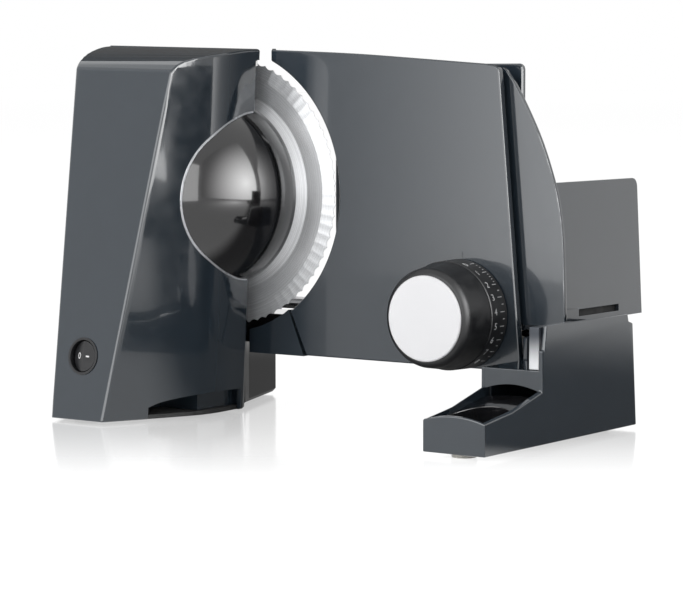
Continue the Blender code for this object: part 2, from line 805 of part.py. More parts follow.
def build_tower(switch_axis):
    """Front shell with its facet, curved wall, arch, bay and openings."""
    shell = add_object(
        "motor_housing",
        loft("motor_housing", tower_sections(0.0, TOWER_BOTTOM, TOWER_LOFT_TOP)),
        SLATE_PLASTIC,
    )
    keep_inside(shell, arch_prism("tower_arch", 0.0))
    round_edges(shell, TOWER_ROUND, 1, TOWER_ROUND_ANGLE)
    cavity = add_cutter(
        "tower_cavity",
        loft("tower_cavity", tower_sections(TOWER_WALL, TOWER_BOTTOM - OVERLAP, TOWER_LOFT_TOP)),
    )
    boolean(cavity, add_cutter("cavity_arch", arch_prism("cavity_arch", TOWER_WALL)), "INTERSECT")
    boolean(shell, cavity, "DIFFERENCE")
    cut(shell, box("tower_rear", (-WIDE, TOWER_REAR_Y, -WIDE), (WIDE, WIDE, TOWER_LIP_BOTTOM)))
    cut(shell, revolve("dome_hole", dome_ball(DOME_RADIUS + SEAM), "Y", DOME_CENTRE, DOME_STEPS))
    cut(shell, prism("bay_hole", bay_outline(0.0), "X", BAY_HOLE_LEFT_X, WIDE))
    cut(
        shell,
        cylinder("switch_hole", SWITCH_BEZEL_RADIUS - SWITCH_LIP, -SWITCH_BEZEL_DEPTH,
                 SWITCH_BEZEL_DEPTH, "Y"),
        switch_axis,
    )


def dome_ball(radius):
    """Half-section of a solid ball round the dome's centre, cut flat behind the dome's rim."""
    start = math.acos((DOME_RIM_Y - DOME_CENTRE_Y) / radius)
    steps = DOME_STEPS // 3
    line = [
        (radius * math.sin(start + (math.pi - start) * step / steps),
         radius * math.cos(start + (math.pi - start) * step / steps))
        for step in range(steps)
    ]
    reach = DOME_RIM_Y - DOME_CENTRE_Y + OVERLAP
    return [(0.0, reach), (line[0][0], reach)] + line + [(0.0, -radius)]


def build_dome():
    """Round cover over the worm wheel, open towards the blade and the tower's inside."""
    dome = add_object(
        "gear_dome",
        revolve("gear_dome", dome_profile(DOME_RADIUS, DOME_RADIUS - DOME_WALL, DOME_RIM_Y), "Y",
                DOME_CENTRE, DOME_STEPS, closed=False),
        DOME_PLASTIC,
    )
    cut(dome, box("dome_inner_half", (-WIDE, -WIDE, -WIDE), (DOME_INNER_X, WIDE, WIDE)))


def side_x(foot_x, head_x, level):
    """Place on one of the tower's straight drafted sides at a height."""
    part = (level - TOWER_BOTTOM) / (TOWER_LOFT_TOP - TOWER_BOTTOM)
    return foot_x + (head_x - foot_x) * part


def build_back():
    """Plate behind the tower with the raised surround of the blade."""
    left_foot = TOWER_FOOT_LEFT[0][0]
    left_head = TOWER_HEAD_LEFT[0][0]
    head_left = ARCH_LEFT[-1][1]
    head_right = ARCH_RIGHT[-1][1]
    sections = []
    for y, chamfer in ((BACK_FRONT_Y, 0.0), (BACK_REAR_Y, BACK_CHAMFER), (SURROUND_REAR_Y, BACK_CHAMFER)):
        sections.append([
            (left_foot, y, TOWER_BOTTOM),
            (BACK_RIGHT_FOOT_X - chamfer, y, TOWER_BOTTOM),
            (side_x(BACK_RIGHT_FOOT_X, BACK_RIGHT_HEAD_X, head_right) - chamfer, y, head_right),
            (side_x(left_foot, left_head, head_left), y, head_left),
        ])
    back = add_object("housing_back", loft("housing_back", sections), SLATE_PLASTIC)
    lip_y = TOWER_LIP_Y + SEAM
    cut(back, box("back_lip", (-WIDE, -WIDE, TOWER_LIP_BOTTOM - SEAM), (WIDE, lip_y, WIDE)))
    cut(back, box("back_low", (-WIDE, BACK_REAR_Y, -WIDE), (WIDE, WIDE, SURROUND_BOTTOM)))
    cut(back, box("back_right", (SURROUND_RIGHT_X, BACK_REAR_Y, -WIDE), (WIDE, WIDE, WIDE)))
    cut(back, cylinder("blade_well", SURROUND_RADIUS, BACK_REAR_Y, WIDE, "Y", BLADE_CENTRE, SIDES_LARGE))
    groove = add_cutter(
        "dome_groove",
        revolve("dome_groove", dome_profile(DOME_RADIUS + SEAM, DOME_RADIUS - DOME_WALL - SEAM,
                                            DOME_RIM_Y + OVERLAP), "Y", DOME_CENTRE, DOME_STEPS),
    )
    boolean(groove, add_cutter("groove_half", box("groove_half", (-WIDE, -WIDE, -WIDE),
                                                  (DOME_INNER_X - SEAM, WIDE, WIDE))), "DIFFERENCE")
    boolean(back, groove, "DIFFERENCE")
    cut(back, cylinder("back_bush_hole", MAIN_BUSH_RADIUS + FIT, BACK_FRONT_Y - OVERLAP, WIDE, "Y",
                       BLADE_CENTRE, SIDES_MEDIUM))
    for number, (x, z) in enumerate(BACK_SCREWS, 1):
        cut(back, screw_hole(f"back_screw_hole_{number}", "Y", (x, BACK_REAR_Y, z), -1.0))


def build_bottom_cover():
    """Plate that closes the tower below, with vents and holes for its rubber feet."""
    sections = tower_sections(TOWER_WALL + SEAM, TOWER_BOTTOM, COVER_TOP)
    cover = add_object("bottom_cover", loft("bottom_cover", sections), BLACK_PLASTIC)
    cut(cover, box("cover_rear", (-WIDE, TOWER_REAR_Y, -WIDE), (WIDE, WIDE, WIDE)))
    slots = []
    for number in range(VENT_COUNT):
        x = VENT_X + (number - (VENT_COUNT - 1) / 2) * VENT_PITCH
        slots.append(box(f"vent_{number}", (x - VENT_WIDTH / 2, VENT_Y - VENT_LENGTH / 2, -OVERLAP),
                         (x + VENT_WIDTH / 2, VENT_Y + VENT_LENGTH / 2, COVER_TOP + OVERLAP)))
    cut(cover, merge_meshes("cover_vents", slots))
    pad_x, pad_y = TOWER_PADS[0]
    cut(cover, cylinder("cover_pad_hole", PAD_STEM_RADIUS + FIT, -OVERLAP, COVER_TOP + OVERLAP, "Z",
                        (pad_x, pad_y, 0.0), SIDES_TINY))


def build_bay_liner():
    """Slate panel and deep pocket behind the cord's bay."""
    outer = ((BAY_PANEL_X, BAY_REAR_Y), (BAY_PANEL_X, BAY_STEP_Y), (BAY_DEEP_X, BAY_STEP_Y),
             (BAY_DEEP_X, BAY_FRONT_Y))
    wall = BAY_LINER_WALL
    inner = ((BAY_DEEP_X - wall, BAY_FRONT_Y), (BAY_DEEP_X - wall, BAY_STEP_Y + wall),
             (BAY_PANEL_X - wall, BAY_STEP_Y + wall), (BAY_PANEL_X - wall, BAY_REAR_Y))
    liner = add_object(
        "cord_bay_liner",
        prism("cord_bay_liner", outer + inner, "Z", COVER_TOP + SEAM, BAY_LINER_TOP),
        SLATE_PLASTIC,
    )
    roof = ((BAY_DEEP_X - wall, BAY_FRONT_Y), (BAY_ROOF_RIGHT_X, BAY_FRONT_Y),
            (BAY_PANEL_X - SEAM, BAY_STEP_Y), (BAY_DEEP_X - wall, BAY_STEP_Y))
    join(liner, prism("bay_roof", roof, "Z", BAY_LINER_TOP - wall, BAY_LINER_TOP + FIT))
    cut(liner, cylinder("bay_gland_hole", GLAND_RADIUS + FIT, BAY_DEEP_X - OVERLAP * 2,
                        BAY_DEEP_X + OVERLAP, "X", (0.0, GLAND_Y, GLAND_Z), SIDES_TINY))
    gland = revolve(
        "cord_gland",
        [(GLAND_BORE, BAY_DEEP_X - GLAND_LENGTH / 2), (GLAND_BORE, BAY_DEEP_X + GLAND_LENGTH / 2),
         (GLAND_RADIUS - GLAND_BORE / 2, BAY_DEEP_X + GLAND_LENGTH / 2), (GLAND_RADIUS, BAY_DEEP_X),
         (GLAND_RADIUS, BAY_DEEP_X - GLAND_LENGTH / 2)],
        "X", (0.0, GLAND_Y, GLAND_Z), SIDES_TINY, closed=True,
    )
    add_object("cord_gland", gland, RUBBER)


def build_rubber_feet():
    """Four pads, each with a stem that plugs in from below."""
    places = [(x, y, TOWER_BOTTOM, RUBBER) for x, y in TOWER_PADS]
    places += [(x, y, FOOT_BOTTOM, NYLON if y < 0.0 else RUBBER) for x, y in FOOT_PADS]
    for number, (x, y, seat, material) in enumerate(places, 1):
        top = seat - SEAM
        profile = [(0.0, seat + PAD_STEM_RISE), (PAD_STEM_RADIUS, seat + PAD_STEM_RISE),
                   (PAD_STEM_RADIUS, top), (PAD_RADIUS, top), (PAD_RADIUS * PAD_TAPER, 0.0), (0.0, 0.0)]
        add_object(f"rubber_foot_{number}", revolve("pad", profile, "Z", (x, y, 0.0), SIDES_SMALL), material)


def build_switch(switch_axis):
    """Round bezel in the facet and the rocker that tips inside it."""
    bezel = add_object(
        "switch_bezel",
        revolve(
            "switch_bezel",
            [(SWITCH_RADIUS, -SWITCH_LIP), (SWITCH_RADIUS, SWITCH_BEZEL_DEPTH),
             (SWITCH_BEZEL_RADIUS - SWITCH_LIP - FIT, SWITCH_BEZEL_DEPTH),
             (SWITCH_BEZEL_RADIUS - SWITCH_LIP - FIT, -FIT), (SWITCH_BEZEL_RADIUS, -FIT),
             (SWITCH_BEZEL_RADIUS, -SWITCH_LIP)],
            "Y", (0.0, 0.0, 0.0), SIDES_MEDIUM, closed=True,
        ),
        BLACK_PLASTIC,
        switch_axis,
        local=True,
    )
    join(
        bezel,
        cylinder("switch_back", SWITCH_RADIUS + FIT, SWITCH_BEZEL_DEPTH - SWITCH_LIP * 2,
                 SWITCH_BEZEL_DEPTH - SWITCH_LIP / 2, "Y", segments=SIDES_MEDIUM),
        switch_axis,
    )
    rocker_axis = new_pivot("rocker_axis", (0.0, 0.0, 0.0))
    rocker_axis.parent = switch_axis
    rocker_axis.rotation_euler = (0.0, 0.0, -math.radians(ROCKER_SWING))
    rocker = add_object(
        "switch_rocker",
        cylinder("switch_rocker", ROCKER_RADIUS, 0.0, ROCKER_DEPTH, "Y", segments=SIDES_MEDIUM),
        BLACK_PLASTIC,
        rocker_axis,
        local=True,
    )
    wedges = []
    for side in (-1.0, 1.0):
        fall = math.tan(math.radians(ROCKER_SWING)) * ROCKER_RADIUS
        outline = ((0.0, -OVERLAP), (0.0, 0.0), (side * ROCKER_RADIUS * 2, fall * 2),
                   (side * ROCKER_RADIUS * 2, -OVERLAP))
        wedges.append(prism(f"rocker_front_{side}", outline, "Z", -ROCKER_RADIUS * 2, ROCKER_RADIUS * 2))
        back = ((0.0, ROCKER_DEPTH), (side * ROCKER_RADIUS * 2, ROCKER_DEPTH - fall),
                (side * ROCKER_RADIUS * 2, ROCKER_DEPTH + OVERLAP), (0.0, ROCKER_DEPTH + OVERLAP))
        wedges.append(prism(f"rocker_back_{side}", back, "Z", -ROCKER_RADIUS * 2, ROCKER_RADIUS * 2))
    for wedge in wedges:
        cut(rocker, wedge, rocker_axis)


# Screws


def screw_profile(grow):
    """Half-section of a countersunk screw whose head is flush at zero and whose tip points along."""
    head = SCREW_HEAD_RADIUS + grow
    shank = SCREW_SHANK_RADIUS + grow
    return [(0.0, SCREW_LENGTH + grow * 2), (shank, SCREW_LENGTH + grow * 2), (shank, SCREW_HEAD_DEPTH),
            (head, grow), (head, -grow), (0.0, -grow)]


def screw_hole(name, axis, place, way):
    """The space that a screw needs, running from its place one way along an axis."""
    profile = [(radius, along * way) for radius, along in screw_profile(FIT)]
    return revolve(name, profile, axis, place, SIDES_TINY)


def add_screw(name, axis, place, way):
    """A slotted countersunk screw."""
    profile = [(radius, along * way) for radius, along in screw_profile(0.0)]
    screw = add_object(name, revolve(name, profile, axis, place, SIDES_TINY), BRUSHED_STEEL)
    x, y, z = place
    wide = SCREW_HEAD_RADIUS * 2
    thin = SCREW_SLOT_DEPTH / 2
    deep = SCREW_SLOT_DEPTH
    half_x, half_y = (wide, deep) if axis == "Y" else (deep, wide)
    cut(screw, box(f"{name}_slot", (x - half_x, y - half_y, z - thin), (x + half_x, y + half_y, z + thin)))


def build_screws():
    """Screws of the housing's back and of the foot."""
    for number, (x, z) in enumerate(BACK_SCREWS, 1):
        add_screw(f"housing_screw_{number}", "Y", (x, BACK_REAR_Y, z), -1.0)
    for number, y in enumerate(FOOT_SCREW_YS, 1):
        add_screw(f"foot_screw_{number}", "X", (FOOT_LEFT_X + FOOT_WALL, y, FOOT_SCREW_Z), -1.0)


# Base, bridge and guard


def build_base():
    """Hollow rear base with the bridge that reaches the foot and the post of the guide rod."""
    base = add_object("chassis_base", prism("chassis_base", BASE_PLAN, "Z", TOWER_BOTTOM, BASE_TOP),
                      SLATE_PLASTIC)
    round_edges(base, BASE_ROUND, 1, SQUARE_ANGLE)
    pocket = inset(BASE_PLAN, BASE_WALL)
    cut(base, prism("base_pocket", pocket, "Z", -OVERLAP, BASE_TOP - BASE_WALL * 4))
    join(base, box("bridge_beam", (BRIDGE_ROOT_X, BRIDGE_FRONT_Y, BRIDGE_BOTTOM),
                   (BRIDGE_RIGHT_X, BRIDGE_REAR_Y, BRIDGE_TOP)))
    span = BRIDGE_RIGHT_X - BRIDGE_END_BLOCK - BASE_PLAN[2][0]
    bay = (span - BRIDGE_WALL * BRIDGE_RIBS) / BRIDGE_RIBS
    pockets = []
    for number in range(BRIDGE_RIBS):
        left = BASE_PLAN[2][0] + BRIDGE_WALL / 2 + number * (bay + BRIDGE_WALL)
        pockets.append(box(f"bridge_pocket_{number}",
                           (left, BRIDGE_FRONT_Y + BRIDGE_WALL * 3, BRIDGE_BOTTOM - OVERLAP),
                           (left + bay, BRIDGE_REAR_Y - BRIDGE_WALL, BRIDGE_TOP - BRIDGE_WALL)))
    cut(base, merge_meshes("bridge_pockets", pockets))
    join(base, box("rod_post", (ROD_POST_X - ROD_POST_HALF_WIDTH, ROD_Y - ROD_POST_HALF_DEPTH,
                                BASE_TOP - OVERLAP),
                   (ROD_POST_X + ROD_POST_HALF_WIDTH, ROD_Y + ROD_POST_HALF_DEPTH, ROD_POST_TOP)))
    cut(base, cylinder("base_well", SURROUND_RADIUS, BACK_REAR_Y - OVERLAP, WELL_REAR_Y, "Y", BLADE_CENTRE,
                       SIDES_LARGE))
    cut(base, cylinder("post_bore", ROD_RADIUS + FIT, ROD_LEFT_X - SEAM, 0.0, "X", (0.0, ROD_Y, ROD_Z),
                       SIDES_SMALL))
    for number, x in enumerate(BAR_XS, 1):
        cut(base, cylinder(f"bar_hole_{number}", PLATE_BUSH_RADIUS + FIT, BRIDGE_FRONT_Y - OVERLAP,
                           BRIDGE_REAR_Y + OVERLAP, "Y", (x, 0.0, BAR_Z), SIDES_SMALL))
    for number, y in enumerate(FOOT_SCREW_YS, 1):
        cut(base, screw_hole(f"bridge_screw_hole_{number}", "X",
                             (FOOT_LEFT_X + FOOT_WALL, y, FOOT_SCREW_Z), -1.0))
    pad_x, pad_y = TOWER_PADS[1]
    cover_top = TOWER_BOTTOM + BASE_COVER_THICKNESS
    cover = add_object(
        "chassis_cover",
        prism("chassis_cover", inset(BASE_PLAN, BASE_WALL + SEAM), "Z", TOWER_BOTTOM, cover_top),
        BLACK_PLASTIC,
    )
    cut(cover, cylinder("chassis_pad_hole", PAD_STEM_RADIUS + FIT, -OVERLAP, cover_top + OVERLAP, "Z",
                        (pad_x, pad_y, 0.0), SIDES_TINY))


def build_guard():
    """Fixed plate under the blade, cut to its curve, with a tab to the bridge."""
    foot_right = (GUARD_RIGHT_FOOT_X, GUARD_BOTTOM)
    outline = ((GUARD_LEFT_X, GUARD_BOTTOM), foot_right, GUARD_RIGHT_HEAD,
               (GUARD_LEFT_X, GUARD_RIGHT_HEAD[1]))
    guard = add_object("lower_guard", prism("lower_guard", outline, "Y", GUARD_FRONT_Y, GUARD_REAR_Y),
                       SLATE_PLASTIC)
    cut(guard, cylinder("guard_curve", GUARD_RADIUS, -WIDE, WIDE, "Y", BLADE_CENTRE, SIDES_LARGE))
    join(guard, box("guard_tab", (GUARD_TAB_LEFT, GUARD_FRONT_Y + OVERLAP, GUARD_TAB_BOTTOM),
                    (GUARD_TAB_RIGHT, BRIDGE_FRONT_Y - SEAM, GUARD_TAB_TOP)))


# Foot


def foot_side():
    """Side view of the foot in Y and Z."""
    rear = list(FOOT_STEP_REAR)[::-1]
    return [(FOOT_FRONT_Y, FOOT_BOTTOM)] + rear + [
        (FOOT_TOP_FRONT_Y, FOOT_TOP), (FOOT_TOP_STEP_Y, FOOT_FRONT_TOP), (FOOT_UPRIGHT_Y, FOOT_FRONT_TOP),
        (FOOT_UPRIGHT_Y, FOOT_TOE_HIP), (FOOT_SAG_Y, FOOT_SAG_Z), (FOOT_FRONT_Y, FOOT_TOE_TOP),
    ]


def build_foot():
    """Long foot: scooped toe, open channel, and a boss for the guide rod."""
    foot = add_object("right_foot", prism("right_foot", foot_side(), "X", FOOT_LEFT_X, FOOT_RIGHT_X),
                      SLATE_PLASTIC)
    round_edges(foot, FOOT_ROUND, 1, SQUARE_ANGLE)
    inner_left = FOOT_LEFT_X + FOOT_WALL
    inner_right = FOOT_RIGHT_X - FOOT_WALL
    cut(foot, box("foot_left_drop", (FOOT_LEFT_X - OVERLAP, -WIDE, FOOT_LEFT_TOP), (inner_right, WIDE, WIDE)))
    cut(foot, box("foot_channel", (inner_left, FOOT_CHANNEL_FRONT_Y, FOOT_SHOULDER),
                  (inner_right, FOOT_TOP_REAR_Y - FOOT_WALL, WIDE)))
    cut(foot, box("foot_pocket", (inner_left, FOOT_POCKET_FRONT_Y, -OVERLAP),
                  (inner_right, FOOT_TOP_REAR_Y - FOOT_WALL, FOOT_FLOOR)))
    centre_x = (FOOT_LEFT_X + FOOT_RIGHT_X) / 2
    scoop = smooth_line(
        ((centre_x - SCOOP_RADIUS_X, SCOOP_FRONT_Y), (centre_x - SCOOP_RADIUS_X, SCOOP_MID_Y),
         (centre_x - SCOOP_SHOULDER_X, SCOOP_NECK_Y), (centre_x, SCOOP_REAR_Y),
         (centre_x + SCOOP_SHOULDER_X, SCOOP_NECK_Y), (centre_x + SCOOP_RADIUS_X, SCOOP_MID_Y),
         (centre_x + SCOOP_RADIUS_X, SCOOP_FRONT_Y)), 3)
    cut(foot, prism("foot_scoop", scoop, "Z", SCOOP_FLOOR, FOOT_TOE_HIP + OVERLAP))
    cut(foot, cylinder("toe_pad_hole", PAD_STEM_RADIUS + FIT, -OVERLAP, FOOT_BOTTOM + PAD_STEM_RISE + SEAM,
                       "Z", (*FOOT_PADS[0], 0.0), SIDES_TINY))
    join(foot, box("rear_pad_post", (FOOT_PADS[1][0] - PAD_RADIUS, FOOT_PADS[1][1] - PAD_RADIUS, FOOT_BOTTOM),
                   (FOOT_PADS[1][0] + PAD_RADIUS, FOOT_TOP_REAR_Y, FOOT_FLOOR + OVERLAP)))
    cut(foot, cylinder("heel_pad_hole", PAD_STEM_RADIUS + FIT, -OVERLAP, FOOT_BOTTOM + PAD_STEM_RISE + SEAM,
                       "Z", (*FOOT_PADS[1], 0.0), SIDES_TINY))
    join(foot, box("rod_boss", (FOOT_LEFT_X, ROD_BOSS_FRONT_Y, FOOT_FLOOR + OVERLAP),
                   (ROD_BOSS_RIGHT_X, ROD_BOSS_REAR_Y, ROD_BOSS_TOP)))
    cut(foot, cylinder("rod_socket", ROD_RADIUS + FIT, FOOT_LEFT_X - OVERLAP, ROD_RIGHT_X + SEAM, "X",
                       (0.0, ROD_Y, ROD_Z), SIDES_SMALL))
    for number, y in enumerate(FOOT_SCREW_YS, 1):
        cut(foot, cylinder(f"foot_driver_hole_{number}", SCREW_HEAD_RADIUS + FIT, inner_left, inner_right,
                           "X", (0.0, y, FOOT_SCREW_Z), SIDES_TINY))
        cut(foot, screw_hole(f"foot_screw_hole_{number}", "X", (inner_left, y, FOOT_SCREW_Z), -1.0))
    block = add_object(
        "channel_block",
        box("channel_block", (BLOCK_LEFT_X, BLOCK_FRONT_Y, FOOT_SHOULDER + SEAM),
            (BLOCK_RIGHT_X, BLOCK_REAR_Y, BLOCK_TOP)),
        SLATE_PLASTIC,
    )
    round_edges(block, BLOCK_ROUND, 2, SQUARE_ANGLE)


def build_rod():
    """Steel rod from the base's post to the foot's boss."""
    add_object("guide_rod", cylinder("guide_rod", ROD_RADIUS, ROD_LEFT_X, ROD_RIGHT_X, "X",
                                     (0.0, ROD_Y, ROD_Z), SIDES_SMALL), BRUSHED_STEEL)


# Blade, spindle and wheel


def blade_circle(work, y, radius, count, dip_steps=1):
    """A circle of points on the blade, dipped between its scallops' cusps."""
    circle = []
    for step in range(count):
        turn = 2 * math.pi * step / count
        dip = BLADE_SCALLOP_DEPTH * math.sin(math.pi * (step % dip_steps) / dip_steps)
        circle.append(work.verts.new(((radius - dip) * math.cos(turn), y, (radius - dip) * math.sin(turn))))
    return circle


def stitch(work, coarse, fine):
    """Fill between a circle and one with a whole number of times its points."""
    ratio = len(fine) // len(coarse)
    for here, start in enumerate(coarse):
        end = coarse[(here + 1) % len(coarse)]
        run = [fine[(here * ratio + step) % len(fine)] for step in range(ratio + 1)]
        middle = (ratio + 1) // 2
        for first, second in zip(run[:middle], run[1:middle + 1]):
            work.faces.new((start, first, second))
        work.faces.new((start, run[middle], end))
        for first, second in zip(run[middle:-1], run[middle + 1:]):
            work.faces.new((end, first, second))


def build_blade(blade_axis):
    """Dished disc with a ground, scalloped edge."""
    work = bmesh.new()
    fine = BLADE_SCALLOPS * BLADE_SCALLOP_STEPS
    edges = [blade_circle(work, y, BLADE_RADIUS, fine, BLADE_SCALLOP_STEPS)
             for y in (BLADE_EDGE_Y - BLADE_EDGE_SHEET, BLADE_EDGE_Y)]
    grinds = [blade_circle(work, y, BLADE_BEVEL_RADIUS, BLADE_SCALLOPS) for y in (BLADE_BACK_Y, BLADE_EDGE_Y)]
    places = (
        (BLADE_BACK_Y, BLADE_STEP_RADIUS), (BLADE_DISH_Y, BLADE_DISH_RADIUS), (BLADE_DISH_Y, BLADE_BORE),
        (BLADE_DISH_Y + BLADE_SHEET, BLADE_BORE),
        (BLADE_DISH_Y + BLADE_SHEET, BLADE_DISH_RADIUS + BLADE_SHEET / 2),
        (BLADE_EDGE_Y, BLADE_STEP_RADIUS + BLADE_SHEET / 2),
    )
    inner = [blade_circle(work, y, radius, BLADE_SCALLOPS // 2) for y, radius in places]
    for first, second in [tuple(edges)] + list(zip(inner, inner[1:])):
        for here in range(len(first)):
            there = (here + 1) % len(first)
            work.faces.new((first[here], first[there], second[there], second[here]))
    for grind, edge, step in ((grinds[0], edges[0], inner[0]), (grinds[1], edges[1], inner[-1])):
        stitch(work, grind, edge)
        stitch(work, step, grind)
    add_object("blade", finish_mesh("blade", work), BLADE_STEEL, blade_axis, local=True)


def build_spindle(blade_axis):
    """Shaft with the flange that carries the blade, socketed for the quarter-turn lock."""
    profile = [
        (LOCK_SOCKET_RADIUS, SPINDLE_NOSE_Y - SPINDLE_SOCKET_DEPTH), (LOCK_SOCKET_RADIUS, SPINDLE_NOSE_Y),
        (SPINDLE_NOSE_RADIUS, SPINDLE_NOSE_Y), (SPINDLE_NOSE_RADIUS, SPINDLE_SEAT_Y),
        (SPINDLE_FLANGE_RADIUS, SPINDLE_SEAT_Y), (SPINDLE_FLANGE_RADIUS, SPINDLE_FLANGE_Y),
        (SPINDLE_RADIUS, SPINDLE_FLANGE_Y), (SPINDLE_RADIUS, SPINDLE_SHOULDER_Y),
        (SPINDLE_GEAR_RADIUS, SPINDLE_SHOULDER_Y), (SPINDLE_GEAR_RADIUS, SPINDLE_GEAR_END_Y),
        (SPINDLE_TAIL_RADIUS, SPINDLE_GEAR_END_Y), (SPINDLE_TAIL_RADIUS, SPINDLE_END_Y), (0.0, SPINDLE_END_Y),
    ]
    spindle = revolve("blade_spindle", [(0.0, SPINDLE_NOSE_Y - SPINDLE_SOCKET_DEPTH)] + profile, "Y",
                      segments=SIDES_MEDIUM)
    add_object("blade_spindle", spindle, BRUSHED_STEEL, blade_axis, local=True)
    nut = cylinder("gear_nut", NUT_RADIUS, NUT_BACK_Y, WHEEL_BACK_Y - SEAM, "Y", segments=6)
    nut_object = add_object("gear_nut", nut, BRUSHED_STEEL, blade_axis, local=True)
    cut(nut_object, cylinder("nut_bore", SPINDLE_TAIL_RADIUS + FIT, -WIDE, WIDE, "Y"), blade_axis)
    bore = SPINDLE_RADIUS + BUSH_RUNNING
    lip_rear = MAIN_BUSH_FRONT_Y + MAIN_BUSH_LIP_THICKNESS
    bush = revolve(
        "spindle_bush",
        [(bore, MAIN_BUSH_REAR_Y), (bore, MAIN_BUSH_FRONT_Y), (MAIN_BUSH_LIP, MAIN_BUSH_FRONT_Y),
         (MAIN_BUSH_LIP, lip_rear), (MAIN_BUSH_RADIUS, lip_rear), (MAIN_BUSH_RADIUS, MAIN_BUSH_REAR_Y)],
        "Y", BLADE_CENTRE, SIDES_MEDIUM, closed=True,
    )
    add_object("spindle_bush", bush, BRONZE)


def tooth_outline(y, twist):
    """The worm wheel's outline at one depth, turned by a twist."""
    outline = []
    pitch_angle = 2 * math.pi / WHEEL_TEETH
    half_pitch = (WORM_LEAD / 4 - TOOTH_SLACK) / WHEEL_PITCH_RADIUS
    tip = WHEEL_PITCH_RADIUS + WHEEL_TIP_RISE
    root = WHEEL_PITCH_RADIUS - WHEEL_ROOT_FALL
    half_tip = half_pitch - TOOTH_FLANK * WHEEL_TIP_RISE / WHEEL_PITCH_RADIUS
    half_root = half_pitch + TOOTH_FLANK * WHEEL_ROOT_FALL / WHEEL_PITCH_RADIUS
    for tooth in range(WHEEL_TEETH):
        middle = math.pi + tooth * pitch_angle - twist
        for radius, offset in ((root, -half_root), (tip, -half_tip), (tip, half_tip), (root, half_root)):
            outline.append((radius * math.cos(middle + offset), y, radius * math.sin(middle + offset)))
    return outline


def build_wheel(blade_axis):
    """Worm wheel with slanted teeth, dished web and hub."""
    slant = WORM_LEAD / (2 * math.pi * WORM_PITCH_RADIUS)
    half_twist = slant * (WHEEL_FRONT_Y - WHEEL_BACK_Y) / 2 / WHEEL_PITCH_RADIUS
    wheel = add_object(
        "blade_gear",
        loft("blade_gear", [tooth_outline(WHEEL_BACK_Y, -half_twist),
                            tooth_outline(WHEEL_FRONT_Y, half_twist)]),
        NYLON,
        blade_axis,
        local=True,
    )
    for name, start, end in (("web_front", WHEEL_FRONT_Y - WHEEL_WEB_INSET, WHEEL_FRONT_Y + OVERLAP),
                             ("web_back", WHEEL_BACK_Y - OVERLAP, WHEEL_BACK_Y + WHEEL_WEB_INSET)):
        ring = revolve(name, [(WHEEL_HUB_RADIUS, start), (WHEEL_HUB_RADIUS, end), (WHEEL_RIM_RADIUS, end),
                              (WHEEL_RIM_RADIUS, start)], "Y", segments=SIDES_MEDIUM, closed=True)
        cut(wheel, ring, blade_axis)
    cut(wheel, cylinder("wheel_bore", SPINDLE_GEAR_RADIUS + FIT, -WIDE, WIDE, "Y"), blade_axis)


def build_lock(lock_axis):
    """Round quarter-turn lock with a raised grip, sunk in the blade's dish."""
    profile = [(0.0, LOCK_STEM_Y), (LOCK_STEM_RADIUS, LOCK_STEM_Y), (LOCK_STEM_RADIUS, LOCK_BACK_Y),
               (LOCK_RADIUS, LOCK_BACK_Y), (LOCK_RADIUS - OVERLAP / 2, LOCK_FRONT_Y), (0.0, LOCK_FRONT_Y)]
    lock = add_object("lock_knob", revolve("lock_knob", profile, "Y"), BLACK_PLASTIC, lock_axis, local=True)
    grip = rounded_box_outline(-LOCK_RADIUS + OVERLAP, LOCK_RADIUS - OVERLAP, -LOCK_GRIP_WIDTH / 2,
                               LOCK_GRIP_WIDTH / 2, LOCK_GRIP_WIDTH / 3, 3)
    join(lock, prism("lock_grip", grip, "Y", LOCK_FRONT_Y - OVERLAP / 2, LOCK_GRIP_Y), lock_axis)


# Worm, motor and inner frame


